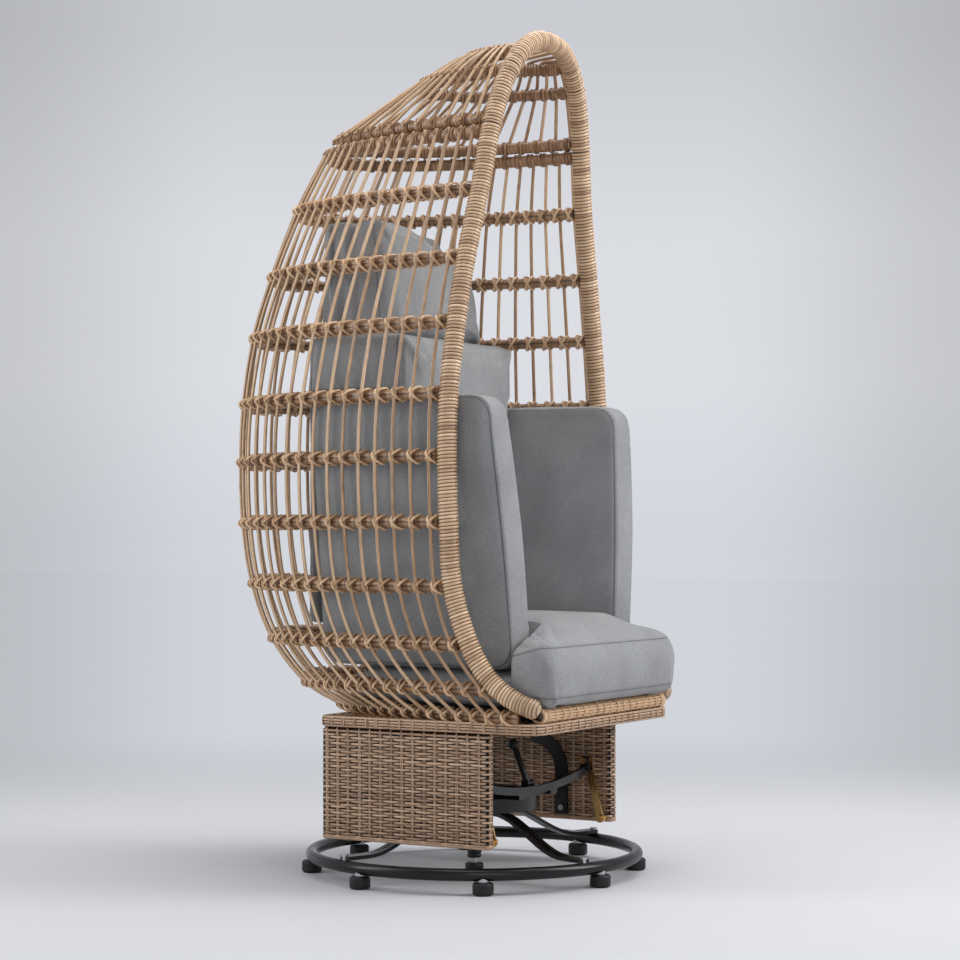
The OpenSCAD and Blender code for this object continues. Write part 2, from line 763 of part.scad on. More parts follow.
// Strands cross every hoop on its outside, evenly spaced along it
arc_steps = 60;
function running(v) = [for (i = 0, s = 0; i <= len(v); s = s + (i < len(v) ? v[i] : 0), i = i + 1) s];
arc_sums = [for (j = [0 : hoop_total - 1]) running([for (i = [1 : arc_steps])
    norm(hoop_point(j, 180 * i / arc_steps) - hoop_point(j, 180 * (i - 1) / arc_steps))])];
hoop_lengths = [for (sums = arc_sums) last(sums)];
arc_tables = [for (sums = arc_sums)
    [for (i = [0 : arc_steps]) [sums[i] / last(sums), 180 * i / arc_steps]]];
function on_hoop(j, share) = hoop_point(j, lookup(share, arc_tables[j]));
function hoop_direction(j, share) = let (angle = lookup(share, arc_tables[j]))
    unit([hoop_half_w[j] * sin(angle), hoop_reach[j] * cos(angle), 0]);
// Outward direction of the shell at hoop j, level at the hoop that lies on the deck
function outward(j, share, low, high) = unit(cross(hoop_direction(j, share), j == hoop_total - 1
    ? [0, 0, -1] : on_hoop(min(j + 1, high), share) - on_hoop(max(j - 1, low), share)));
function strand_point(j, share, low, high) = on_hoop(j, share)
    + outward(j, share, low, high) * (hoop_size(j) / 2 + strand_d / 2 + gap);
// Share along hoop j of strand i of a set: the first stands clear of the rim
edge_share = 0.75;
strand_room = rim_d * 0.75;
// More room at the deck, where the rim sweeps forward over the last hoop
sweep_room_share = 2.4;
function strand_share(j, i, count) = let (
    first = max(edge_share / (count - 1 + 2 * edge_share),
        strand_room * (j == hoop_total - 1 ? sweep_room_share : 1) / hoop_lengths[j]))
    first + (1 - 2 * first) * (i - 1) / (count - 1);
upper_tail = strand_d * 1.3;
lower_tail = strand_d / 2;
function with_tails(p, head, tail) = concat(
    head == 0 ? [] : [p[0] + unit(p[0] - p[1]) * head], p, [last(p) + unit(last(p) - p[len(p) - 2]) * tail]);
strand_sides = 4;
module shell_strand(i) {
    path = [for (j = [shell_top : hoop_total - 1])
        strand_point(j, strand_share(j, i, shell_strands), shell_top, hoop_total - 1)];
    tube(with_tails(path, upper_tail, lower_tail), strand_d, strand_sides,
        start = outward(shell_top, strand_share(shell_top, i, shell_strands), shell_top, hoop_total - 1));
}
side_strands = floor(shell_strands / 3);
module right_shell_strands() color(wicker)
    for (i = [1 : side_strands])
        shell_strand(i);
module back_shell_strands() color(wicker)
    for (i = [side_strands + 1 : shell_strands - side_strands])
        shell_strand(i);
module left_shell_strands() color(wicker)
    for (i = [shell_strands - side_strands + 1 : shell_strands])
        shell_strand(i);

// Dome strands run on from the crown hoop to the back of the rim's arch
crown_row = rim_half_count - rim_steps * 2;
function arch_point(share) = let (
    span = len(rim_path) - 1 - 2 * crown_row,
    place = len(rim_path) - 1 - crown_row - span * share,
    i = min(floor(place), len(rim_path) - 2))
    rim_path[i] + (rim_path[i + 1] - rim_path[i]) * (place - i);
// Every other strand ends on the crown hoop, and so do those beside its ends
module dome_strand(i) {
    short = i % 2 == 1 || i < 3 || i > dome_strands - 2;
    share = strand_share(0, i, dome_strands);
    end = arch_point(i / (dome_strands + 1));
    crown_out = short ? outward(0, share, 0, dome_base)
        : unit(cross(hoop_direction(0, share), on_hoop(1, share) - end));
    path = [for (j = [0 : dome_base]) j == 0
        ? on_hoop(0, share) + crown_out * (hoop_d / 2 + strand_d / 2 + 2 * gap)
        : strand_point(j, strand_share(j, i, dome_strands), 0, dome_base)];
    stop = end - unit(end - path[0]) * strand_room;
    tube(short ? with_tails(path, lower_tail, upper_tail)
        : with_tails(concat([stop], path), 0, upper_tail), strand_d, strand_sides, start = crown_out);
}
module dome_strand_set() color(wicker)
    for (i = [1 : dome_strands])
        dome_strand(i);

// Cushions: crowned forms with drawn-in sides
corner_steps = 4;
side_shares = [-0.5, 0, 0.5];
// Outline with round corners whose sides pull in between them
function cushion_outline(half_u, half_v, corner, pinch) = [
    for (q = [0 : 3]) let (
        su = q == 0 || q == 3 ? 1 : -1, sv = q < 2 ? 1 : -1,
        centre = [su * (half_u - corner), sv * (half_v - corner)],
        next = q % 2 == 0 ? [half_u - corner, half_v] : [half_u, half_v - corner])
        each concat(
            [for (k = [0 : corner_steps]) let (a = 90 * q + 90 * k / corner_steps)
                centre + corner * [cos(a), sin(a)]],
            [for (s = side_shares) q % 2 == 0
                ? [-su * next.x * s, sv * (half_v - pinch * (1 - s * s))]
                : [su * (half_u - pinch * (1 - s * s)), -sv * next.y * s]])];
// Loops from the top's middle to the bottom's, as shares of the outline and of half the thickness
loop_shares = [[0.25, 1], [0.46, 0.97], [0.61, 0.93], [0.77, 0.86], [0.90, 0.72], [0.97, 0.52], [1, 0.28],
    [1, -0.28], [0.97, -0.52], [0.90, -0.72], [0.77, -0.86], [0.61, -0.93], [0.46, -0.97], [0.25, -1]];
module cushion(outline, half_t, place) {
    count = len(outline);
    loops = len(loop_shares);
    points = concat(
        [for (s = loop_shares, p = outline) place([p.x * s[0], p.y * s[0], half_t * s[1]])],
        [place([0, 0, half_t]), place([0, 0, -half_t])]);
    walls = [for (i = [0 : loops - 2], k = [0 : count - 1]) let (
        a = i * count + k, b = a + count, next = i * count + (k + 1) % count, c = next + count)
        each [[a, c, b], [a, next, c]]];
    end = (loops - 1) * count;
    caps = [for (k = [0 : count - 1]) let (next = (k + 1) % count)
        each [[loops * count, next, k], [loops * count + 1, end + k, end + next]]];
    polyhedron(points, concat(walls, caps));
}

cushion_corner = seat_t * 0.5;
cushion_pinch = seat_t * 0.05;
seat_mid_y = (seat_rear - seat_front) / 2;
seat_top = seat_z + seat_t;
arm_z = seat_top - seat_press + gap;
arm_in_x = seat_half_w - arm_t;
arm_front = seat_front - arm_t;
// Value held back near a limit, past which it creeps on by a small share
creep_share = 0.05;
function held(v, limit) = abs(v) < limit ? v : sign(v) * (limit + (abs(v) - limit) * creep_share);
// Smooth step from 0 below low to 1 above high
function ramp(v, low, high) = let (t = max(0, min(1, (v - low) / (high - low)))) t * t * (3 - 2 * t);
// Half width inside the rim and the hoops at a place
hoop_reaches = [for (j = [0 : hoop_total - 1]) [hoop_heights[j], hoop_reach[j]]];
function pod_room(y, z) = lookup(z, rim_out)
    * sqrt(1 - pow(max(0, y - lookup(z, rim_fore)) / lookup(z, hoop_reaches), 2)) - rim_d / 2 - 2 * gap;
// Distance from the middle to an arm cushion's inner face at a place
function arm_inner(y, z) = arm_in_x + arm_spread * ((z - arm_z) / arm_h - 1 / 2)
    - max(0, y + arm_front) * tan(arm_toe);
// The seat cushion gives way to the arm cushions above it and to the pod beside it
press_edge = arm_t * 0.36;
sink_share = 0.035;
function seat_narrowing(y, z) = min(1, pod_room(y, z) / seat_half_w);
seat_place = function (p) let (
    y = p.y + seat_mid_y,
    from_inner = abs(p.x) * seat_narrowing(y, seat_z + seat_t / 2 + p.z) - arm_inner(y, arm_z),
    press = (seat_press - arm_t * sink_share) * ramp(from_inner, -press_edge, -gap * 6)
        * ramp(y, -arm_front - press_edge, -arm_front - gap * 6),
    z = seat_z + (p.z + seat_t / 2) * (1 - press / seat_t))
    [p.x * seat_narrowing(y, z), y, z];
module seat_cushion() color(fabric)
    cushion(cushion_outline(seat_half_w, (seat_front + seat_rear) / 2, cushion_corner, cushion_pinch),
        seat_t / 2, seat_place);

arm_corner = arm_t * 0.5;
arm_lean = arm_t * 0.28;
arm_mid_x = arm_in_x + arm_t / 2;
// An arm cushion stands on edge, leans forward and inward at its foot, turns
// with the pod towards the back and gives way to it
arm_place = function (p) let (
    back = p.x / arm_depth + 0.5,
    rise = p.y / arm_h + 0.5,
    y = -arm_front + arm_depth * back + arm_lean * (1 - back) * rise,
    z = arm_z + arm_h * rise,
    x = arm_mid_x + p.z + arm_spread * (rise - 1 / 2) - arm_depth * back * tan(arm_toe))
    [min(x, pod_room(y, z)), y, z];
module arm_cushion() color(fabric)
    cushion(cushion_outline(arm_depth / 2, arm_h / 2, arm_corner, cushion_pinch), arm_t / 2, arm_place);
module left_arm_cushion()
    arm_cushion();
module right_arm_cushion()
    mirror([1, 0, 0])
        arm_cushion();

back_front_y = arm_t * 0.25;
arm_top = arm_z + arm_h;
arm_back = -arm_front + arm_depth;
squeeze = arm_t * 0.035;
back_low = seat_top - seat_t * 0.107;
back_corner = back_t * 0.25;
// The back cushion is squeezed between the arm cushions and swells above them
back_place = function (p) let (
    y = back_front_y + back_t / 2 + p.z,
    z = back_low + back_h / 2 + p.y,
    squeezed = y < arm_back && z < arm_top + arm_t * 0.15,
    x = squeezed ? held(p.x, arm_inner(y, z) - squeeze) : p.x)
    [x, y, z];
module back_cushion() color(fabric)
    cushion([for (p = cushion_outline(back_half_w, back_h / 2, back_corner, cushion_pinch)) [p.x, -p.y]],
        back_t / 2, back_place);

head_z = back_low + back_h - cushion_pinch / 2;
head_y = back_front_y + back_t * 0.6;
head_place = function (p) [p.x, head_y + p.z, head_z + head_h / 2 + p.y];
module head_cushion() color(fabric)
    cushion([for (p = cushion_outline(head_half_w, head_h / 2, head_h / 3, cushion_pinch)) [p.x, -p.y]],
        head_t / 2, head_place);

base_ring();
base_legs();
leg_bolts();
foot_pads();
foot_washers();
hub();
swivel_bearing();
centre_bellows();
centre_stem();
centre_foot();
swivel_dish();
swivel_post();
cradle_rails();
front_bow();
rear_bow();
upper_link_bolts();
lever_clevis();
lock_lever();
lever_knob();
front_links();
rear_links();
lower_link_bolts();
left_panel_skin();
right_panel_skin();
panel_frames();
panel_braces();
brace_bolts();
deck_skin();
deck_frame();
front_rail();
rail_collars();
slat_frame();
lock_catch();
left_rim();
right_rim();
dome_rim();
crown_hoop();
dome_hoop();
dome_base_hoop();
shell_top_hoop();
shell_hoop_1();
shell_hoop_2();
shell_hoop_3();
shell_hoop_4();
shell_hoop_5();
shell_hoop_6();
shell_hoop_7();
shell_hoop_8();
shell_hoop_9();
shell_hoop_10();
left_shell_strands();
back_shell_strands();
right_shell_strands();
dome_strand_set();
seat_cushion();
left_arm_cushion();
right_arm_cushion();
back_cushion();
head_cushion();
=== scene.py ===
"""Looks of a tall wicker pod chair: wound rim, lashed hoops, woven deck and padded cushions.

Metres. The origin is on the floor under the swivel axis, the chair's front faces -Y.
"""
import json
import math

import bpy
import numpy as np
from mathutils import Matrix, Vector


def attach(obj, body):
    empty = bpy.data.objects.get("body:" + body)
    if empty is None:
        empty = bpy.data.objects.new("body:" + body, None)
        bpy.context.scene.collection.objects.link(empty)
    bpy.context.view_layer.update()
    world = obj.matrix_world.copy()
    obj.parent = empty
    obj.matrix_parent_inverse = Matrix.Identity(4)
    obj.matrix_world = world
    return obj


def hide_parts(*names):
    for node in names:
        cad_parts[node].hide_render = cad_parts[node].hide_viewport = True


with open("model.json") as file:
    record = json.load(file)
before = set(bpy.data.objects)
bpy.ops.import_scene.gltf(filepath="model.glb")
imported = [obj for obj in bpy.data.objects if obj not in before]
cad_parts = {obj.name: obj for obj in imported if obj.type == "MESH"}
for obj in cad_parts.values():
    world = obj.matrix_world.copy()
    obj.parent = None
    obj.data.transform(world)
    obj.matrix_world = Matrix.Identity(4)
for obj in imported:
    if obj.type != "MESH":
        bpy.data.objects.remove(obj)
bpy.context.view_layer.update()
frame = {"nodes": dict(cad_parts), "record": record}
scene = bpy.context.scene
nodes = frame["nodes"]
chance = np.random.default_rng(11)
MM = 0.001
UP = Vector((0, 0, 1))

# Camera and studio
VIEW_TURN = math.radians(30)      # the view runs this much ahead of +X, towards +Y
VIEW_DISTANCE = 4.443
VIEW_HEIGHT = 0.631
SIDE_STEP = 0.0104
LENS, SENSOR = 90, 36
PHOTO_SIZE = 960
HORIZON_ROW = 530
LAMP_AIM = 0.7 * UP
# name, how far to the right, ahead and up, width, height, power
LAMPS = [("key", 2.9, -0.4, 2.3, 1.4, 2.4, 66), ("fill", 0.8, -3.8, 1.5, 2.0, 2.0, 13),
         ("top", 0.3, 0, 3.6, 2.4, 2.4, 62), ("left_strip", -3.0, -0.6, 1.9, 0.9, 2.6, 36)]
AMBIENT = 0.42
BACKDROP = [(0.0, (206, 209, 215)), (0.5, (211, 214, 220)), (0.53, (220, 222, 228)),
            (0.56, (219, 221, 227)), (0.6, (202, 204, 210)), (1.0, (188, 190, 197))]
FLOOR_REACH = 24.0


# Colours and node graphs
def linear(*rgb):
    """Linear colour of an 8-bit sRGB one"""
    return tuple((c / 255 / 12.92) if c <= 10 else ((c / 255 + 0.055) / 1.055) ** 2.4 for c in rgb)


class Graph:
    """Short ways to add and join nodes, of shaders unless the prefix says otherwise"""

    def __init__(self, tree, prefix="ShaderNode"):
        self.tree, self.prefix = tree, prefix

    def feed(self, socket, value):
        """Links a socket to the value, or sets it where the value is plain"""
        if isinstance(value, bpy.types.NodeSocket):
            self.tree.links.new(value, socket)
        elif socket.type == "RGBA":
            socket.default_value = (*value, 1)
        else:
            socket.default_value = value

    def node(self, kind, inputs=(), **values):
        """A node with these settings, and inputs by place or name"""
        n = self.tree.nodes.new(self.prefix + kind)
        for key, value in values.items():
            setattr(n, key, value)
        pairs = inputs.items() if isinstance(inputs, dict) else enumerate(inputs)
        for key, value in pairs:
            self.feed(n.inputs[key], value)
        return n

    def math(self, how, a, b=0.5):
        return self.node("Math", (a, b), operation=how).outputs[0]

    def ramp(self, value, stops):
        n = self.node("ValToRGB", (value,))
        while len(n.color_ramp.elements) < len(stops):
            n.color_ramp.elements.new(0.5)
        for stop, (at, rgb) in zip(n.color_ramp.elements, stops):
            stop.position, stop.color = at, (*rgb, 1)
        return n.outputs["Color"]

    def span(self, value, low, high, to_low, to_high, how="LINEAR"):
        ends = {"Value": value, "From Min": low, "From Max": high, "To Min": to_low, "To Max": to_high}
        return self.node("MapRange", ends, interpolation_type=how).outputs["Result"]

    def side_falloff(self, way, side):
        """Strength that drops where a direction turns sideways, as the light on the backdrop does"""
        across = self.node("VectorMath", (way, side), operation="DOT_PRODUCT").outputs["Value"]
        return self.span(self.math("ABSOLUTE", across), 0.09, 0.21, 1.0, 0.78, "SMOOTHSTEP")


class Look(Graph):
    """A principled material and what its surface needs"""

    def __init__(self, name, rough=0.5, **inputs):
        self.mat = bpy.data.materials.new(name)
        self.mat.use_nodes = True
        super().__init__(self.mat.node_tree)
        self.shader = self.tree.nodes["Principled BSDF"]
        self.shader.inputs["Roughness"].default_value = rough
        for key, value in inputs.items():
            self.feed(self.shader.inputs[key.replace("_", " ")], value)

    def attribute(self, name, output="Fac"):
        return self.node("Attribute", attribute_name=name).outputs[output]

    def object_space(self):
        return self.node("TexCoord").outputs["Object"]

    def noise(self, vector, scale, detail=3.0, rough=0.5):
        """Noise of this scale, or of one scale for each direction"""
        if isinstance(scale, tuple):
            vector = self.node("Mapping", {"Scale": scale, "Vector": vector}).outputs["Vector"]
            scale = 1.0
        inputs = {"Vector": vector, "Scale": scale, "Detail": detail, "Roughness": rough}
        return self.node("TexNoise", inputs).outputs["Fac"]

    def weighted(self, *pairs):
        """Sum of values times their weights"""
        parts = [self.math("MULTIPLY", value, weight) for value, weight in pairs]
        total = parts.pop()
        while parts:
            total = self.math("ADD", parts.pop(), total)
        return total

    def mix(self, factor, a, b):
        inputs = {"Factor": factor, "A": a, "B": b}
        return self.node("Mix", inputs, data_type="RGBA", blend_type="MIX").outputs["Result"]

    def surface(self, colour, rough, height, distance, strength):
        """Colour, roughness and bump of the shader"""
        bump = {"Height": height, "Distance": distance, "Strength": strength}
        self.feed(self.shader.inputs["Base Color"], colour)
        self.feed(self.shader.inputs["Roughness"], rough)
        self.feed(self.shader.inputs["Normal"], self.node("Bump", bump).outputs["Normal"])
        return self.mat


# Studio
def added(name, data):
    """An object of this data, in the scene"""
    ob = bpy.data.objects.new(name, data)
    scene.collection.objects.link(ob)
    return ob


def aimed(name, data, spot, way):
    """A camera or lamp at a spot that looks this way"""
    ob = added(name, data)
    ob.location = spot
    ob.rotation_mode = "QUATERNION"
    ob.rotation_quaternion = way.to_track_quat("-Z", "Y")
    return ob


def set_camera():
    data = bpy.data.cameras.new("photo_camera")
    data.lens, data.sensor_width = LENS, SENSOR
    data.shift_y = (HORIZON_ROW - PHOTO_SIZE / 2) / PHOTO_SIZE
    data.clip_start, data.clip_end = 0.1, 60
    ahead = Vector((math.cos(VIEW_TURN), math.sin(VIEW_TURN), 0))
    side = Vector((math.sin(VIEW_TURN), -math.cos(VIEW_TURN), 0))
    spot = -VIEW_DISTANCE * ahead + SIDE_STEP * side + VIEW_HEIGHT * UP
    scene.camera = aimed("photo_camera", data, spot, ahead)
    return ahead, side


def set_lamps(ahead, side):
    for name, right, forward, rise, wide, tall, power in LAMPS:
        data = bpy.data.lights.new(name, "AREA")
        data.shape, data.size, data.size_y, data.energy = "RECTANGLE", wide, tall, power
        spot = side * right + ahead * forward + UP * rise
        aimed(name, data, spot, LAMP_AIM - spot)


def set_world(side):
    """Even pale light, and a backdrop that only the camera, gloss and glass see"""
    world = bpy.data.worlds.new("studio")
    scene.world = world
    world.use_nodes = True
    world.node_tree.nodes.clear()
    g = Graph(world.node_tree)
    ambient = g.node("Background", {"Color": (0.93, 0.95, 1.0), "Strength": AMBIENT})
    way = g.node("TexCoord").outputs["Generated"]
    height = g.node("SeparateXYZ", (way,)).outputs["Z"]
    colour = g.ramp(g.math("ADD", g.math("MULTIPLY", height, 0.5), 0.5),
                    [(at, linear(*rgb)) for at, rgb in BACKDROP])
    backdrop = g.node("Background", {"Color": colour, "Strength": g.side_falloff(way, side)})
    ray = g.node("LightPath").outputs
    seen = g.math("MAXIMUM", ray["Is Camera Ray"], ray["Is Glossy Ray"])
    seen = g.math("MAXIMUM", seen, ray["Is Transmission Ray"])
    mix = g.node("MixShader", (seen, ambient.outputs[0], backdrop.outputs[0]))
    g.node("OutputWorld", {"Surface": mix.outputs[0]})


def set_floor(ahead, side):
    """Pale floor that takes the chair's shadow; far off it glows in the backdrop's colour, dimmer to the
    sides like the backdrop's light
    """
    me = bpy.data.meshes.new("floor")
    corners = [(x * FLOOR_REACH, y * FLOOR_REACH, 0) for x, y in ((-1, -1), (1, -1), (1, 1), (-1, 1))]
    me.from_pydata(corners, [], [(0, 1, 2, 3)])
    floor = added("floor", me)
    look = Look("studio_floor", 0.62, Specular_IOR_Level=0.1, Base_Color=linear(208, 209, 213))
    place = look.object_space()
    # the light's middle line starts this far in front of the chair
    way = look.node("VectorMath", (place, ahead * VIEW_DISTANCE), operation="ADD")
    way = look.node("VectorMath", (way.outputs[0],), operation="NORMALIZE")
    glow = look.node("Emission", {"Color": linear(209, 212, 218),
                                  "Strength": look.side_falloff(way.outputs[0], side)})
    away = look.node("VectorMath", (place,), operation="LENGTH").outputs["Value"]
    camera = look.node("LightPath").outputs["Is Camera Ray"]
    share = look.math("MULTIPLY", look.span(away, 0.9, 3.2, 0, 1, "SMOOTHSTEP"), camera)
    mix = look.node("MixShader", (share, look.shader.outputs[0], glow.outputs[0]))
    look.feed(look.tree.nodes["Material Output"].inputs["Surface"], mix.outputs[0])
    me.materials.append(look.mat)


# Materials
def cane_look(name, light, mid, dark, deep, rough):
    """Round rattan strand: streaks along its own length, a tone of its own, painted shade in the grooves"""
    look = Look(name, rough, Specular_IOR_Level=0.5, Coat_Weight=0.4, Coat_Roughness=0.2)
    grain = look.attribute("grain", "Vector")
    streak = look.noise(grain, (14, 900, 900), 4.0, 0.6)
    blotch = look.noise(grain, (45, 160, 160), 3.0, 0.55)
    value = look.weighted((streak, 0.5), (blotch, 0.3), (look.attribute("tone"), 0.32))
    base = look.ramp(value, [(0.30, linear(*dark)), (0.52, linear(*mid)), (0.78, linear(*light))])
    # painted shade: grooves, gaps and cores darken towards the deep colour, and knot rings too
    colour = look.mix(look.attribute("painted_shade_and_knots"), base, linear(*deep))
    shine = look.span(streak, 0.3, 0.7, rough - 0.06, rough + 0.12)
    return look.surface(colour, shine, streak, 0.0004, 0.55)


def painted_look(name, rgb, rough, peel_scale=900, depth=0.00006):
    """Powder coat or rubber: even colour, a faint orange peel and cloudy dust"""
    look = Look(name, rough, Specular_IOR_Level=0.4)
    place = look.object_space()
    peel = look.noise(place, peel_scale, 2.0)
    cloud = look.noise(place, 9, 4.0)
    dusty = tuple(c * 1.45 for c in linear(*rgb))
    colour = look.mix(look.span(cloud, 0.35, 0.7, 0, 1), linear(*rgb), dusty)
    return look.surface(colour, look.span(cloud, 0.3, 0.7, rough - 0.05, rough + 0.1), peel, depth, 0.5)


def metal_look(name, rgb, worn, rough):
    """Turned or rolled metal: fine scratches and darker patches"""
    look = Look(name, rough, Metallic=1.0)
    place = look.object_space()
    fine = look.noise(place, (60, 900, 900), 3.0)
    patch = look.noise(place, 30, 3.0)
    colour = look.mix(look.span(patch, 0.4, 0.75, 0, 1), linear(*rgb), linear(*worn))
    shine = look.span(fine, 0.3, 0.7, rough - 0.04, rough + 0.06)
    return look.surface(colour, shine, fine, 0.00002, 0.25)


def cloth_look(name, light, dark):
    """Woven upholstery: threads that cross, slubs, soft clouds, and painted shade at the seams: a thin dark
    line and a soft falloff
    """
    look = Look(name, 0.86, Specular_IOR_Level=0.2, Sheen_Weight=0.16, Sheen_Roughness=0.5)
    place = look.object_space()
    light, dark = linear(*light), linear(*dark)
    along, across = 110, 1250
    threads = [look.noise(place, scale, 1.0) for scale in (
        (along, across, across), (across, along, across), (across, across, along))]
    weave = look.math("ADD", look.math("ADD", threads[0], threads[1]), threads[2])
    weave = look.math("MULTIPLY", weave, 0.333)
    value = look.weighted((weave, 0.75), (look.noise(place, 12), 0.25))
    base = look.ramp(value, [(0.38, dark), (0.62, light)])
    # painted shade along the seams' creases
    away = look.math("ABSOLUTE", look.attribute("seam"))
    line = look.span(away, 0.0004, 0.0013, 0.75, 0)
    shade = look.span(away, 0.0008, 0.006, 0.14, 0)
    colour = look.mix(look.math("MAXIMUM", line, shade), base, tuple(c * 0.3 for c in dark))
    return look.surface(colour, look.span(weave, 0.35, 0.65, 0.92, 0.78), weave, 0.0005, 0.6)


# Meshes
class Bundle:
    """Swept strands gathered into one piece, each point with its grain, its tone, and painted shade in its
    grooves and gaps (with the knot rings' own darker colour)
    """

    def __init__(self):
        self.points, self.quads, self.caps = [], [], []
        self.grain, self.tone, self.painted_shade_and_knots = [], [], []
        self.count = 0

    def sweep(self, path, normal, wide, tall, sides=8, closed=False, tone=None, painted_shade_and_knots=0.0,
              grain=None, angles=None):
        """Strands along path (K, N, 3), or one strand (N, 3); wide lies along the normal, tall
        across it. The normal broadcasts to path, wide and tall to (K, N, sides)."""
        path = np.asarray(path, float)
        if path.ndim == 2:
            path, normal = path[None], np.asarray(normal, float)[None]
        normal = np.broadcast_to(normal, path.shape)
        k, n, _ = path.shape
        if closed:
            along = np.roll(path, -1, 1) - np.roll(path, 1, 1)
        else:
            along = np.gradient(path, axis=1)
        along = unit(along)
        normal = unit(normal - along * (normal * along).sum(-1, keepdims=True))
        across = np.cross(along, normal)
        turn = full_turn(sides) if angles is None else angles
        sides = len(turn)
        w = np.broadcast_to(wide, (k, n, sides))[..., None]
        h = np.broadcast_to(tall, (k, n, sides))[..., None]
        ring = (path[:, :, None] + normal[:, :, None] * np.cos(turn)[:, None] * w
                + across[:, :, None] * np.sin(turn)[:, None] * h)
        i, j = np.arange(n if closed else n - 1), np.arange(sides)
        a = i[:, None] * sides + j
        b = i[:, None] * sides + (j + 1) % sides
        step = ((i + 1) % n)[:, None] * sides
        quad = np.stack([a, b, step + (j + 1) % sides, step + j], -1).reshape(-1, 4)
        start = self.count + np.arange(k)[:, None, None] * n * sides
        self.quads.append((quad[None] + start).reshape(-1, 4))
        if not closed:
            cap = np.stack([j[::-1], (n - 1) * sides + j])
            self.caps.append((cap[None] + start).reshape(-1, sides))
        self.points.append(ring.reshape(-1, 3))
        self.count += k * n * sides
        if grain is None:
            spot = chance.uniform(0, 9, (k, 1, 1))
            parts = lengths(path)[:, :, None], w[..., 0] * np.cos(turn), h[..., 0] * np.sin(turn)
            grain = np.stack(np.broadcast_arrays(*[part + spot for part in parts]), -1)
        self.grain.append(np.broadcast_to(grain, (k, n, sides, 3)).reshape(-1, 3))
        if tone is None:
            tone = chance.uniform(0, 1, (k, 1, 1))
        self.tone.append(np.broadcast_to(tone, (k, n, sides)).reshape(-1))
        # painted shade: how far each point darkens towards the groove colour; knot rings add their own
        # darker colour
        self.painted_shade_and_knots.append(np.broadcast_to(painted_shade_and_knots, (k, n, sides)).reshape(-1))

    def core_box(self, low, high):
        """A dark box of painted shade behind woven strands, so that no light comes through"""
        (x0, y0, z0), (x1, y1, z1) = low, high
        points = np.array([(x, y, z) for z in (z0, z1)
                           for x, y in ((x0, y0), (x1, y0), (x1, y1), (x0, y1))])
        faces = np.array([(0, 3, 2, 1), (4, 5, 6, 7), (0, 1, 5, 4), (1, 2, 6, 5), (2, 3, 7, 6),
                          (3, 0, 4, 7)])
        self.points.append(points)
        self.quads.append(faces + self.count)
        self.count += len(points)
        self.grain.append(points)
        self.tone.append(np.zeros(len(points)))
        # painted shade at full strength: the box takes the dark groove colour
        self.painted_shade_and_knots.append(np.ones(len(points)))

    def piece(self, name, material, body, replaced=()):
        me = bpy.data.meshes.new(name)
        quads = np.concatenate(self.quads)
        sizes = [np.full(len(quads), 4)]
        loops = [quads.reshape(-1)]
        for cap in self.caps:
            sizes.append(np.full(len(cap), cap.shape[1]))
            loops.append(cap.reshape(-1))
        sizes, loops = np.concatenate(sizes), np.concatenate(loops)
        me.vertices.add(self.count)
        me.vertices.foreach_set("co", np.concatenate(self.points).astype(np.float32).reshape(-1))
        me.loops.add(len(loops))
        me.loops.foreach_set("vertex_index", loops.astype(np.int32))
        me.polygons.add(len(sizes))
        me.polygons.foreach_set("loop_start", (np.cumsum(sizes) - sizes).astype(np.int32))
        me.polygons.foreach_set("use_smooth", np.full(len(sizes), True))
        me.update(calc_edges=True)
        for key, kind, data in (("grain", "FLOAT_VECTOR", self.grain), ("tone", "FLOAT", self.tone),
                                ("painted_shade_and_knots", "FLOAT", self.painted_shade_and_knots)):
            field = me.attributes.new(key, kind, "POINT").data
            field.foreach_set("vector" if kind != "FLOAT" else "value",
                              np.concatenate(data).astype(np.float32).reshape(-1))
        me.materials.append(material)
        return place_piece(name, me, body, replaced)


def unit(v):
    return v / np.maximum(np.linalg.norm(v, axis=-1, keepdims=True), 1e-12)


def lengths(path):
    """How far along a path each of its points is"""
    steps = np.linalg.norm(np.diff(path, axis=-2), axis=-1)
    return np.concatenate([np.zeros(path.shape[:-2] + (1,)), np.cumsum(steps, -1)], -1)


def lifted(z):
    """Vectors straight up, as long as z says"""
    return np.stack([0 * z, 0 * z, z], -1)


def full_turn(count):
    return np.linspace(0, 2 * math.pi, count, endpoint=False)


def place_piece(name, me, body, replaced=()):
    """A mesh as a piece that rides on a body and stands for these nodes"""
    ob = added(name, me)
    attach(ob, body)
    if replaced:
        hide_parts(*replaced)
    return ob


def carried(path, start):
    """Normals carried along a path without twist, from a start direction"""
    along = unit(np.gradient(path, axis=0))
    out = np.empty_like(path)
    n = np.asarray(start, float)
    for i, t in enumerate(along):
        n = n - t * (n @ t)
        n = n / np.linalg.norm(n)
        out[i] = n
    return out


def catmull(points, steps):
    """Smooth curve through points, as many steps to a span"""
    p = np.asarray(points, float)
    t = np.arange(steps)[:, None] / steps
    out = []
    for i in range(len(p) - 1):
        a, b, c, d = p[max(i - 1, 0)], p[i], p[i + 1], p[min(i + 2, len(p) - 1)]
        out.append((2 * b + (c - a) * t + (2 * a - 5 * b + 4 * c - d) * t ** 2
                    + (3 * b - a - 3 * c + d) * t ** 3) / 2)
    return np.concatenate(out + [p[-1:]])


def evenly(path, step):
    """The same path with a point every step"""
    length = lengths(path)
    count = max(2, int(round(length[-1] / step)) + 1)
    at = np.linspace(0, length[-1], count)
    return np.stack([np.interp(at, length, path[:, k]) for k in range(3)], 1), at


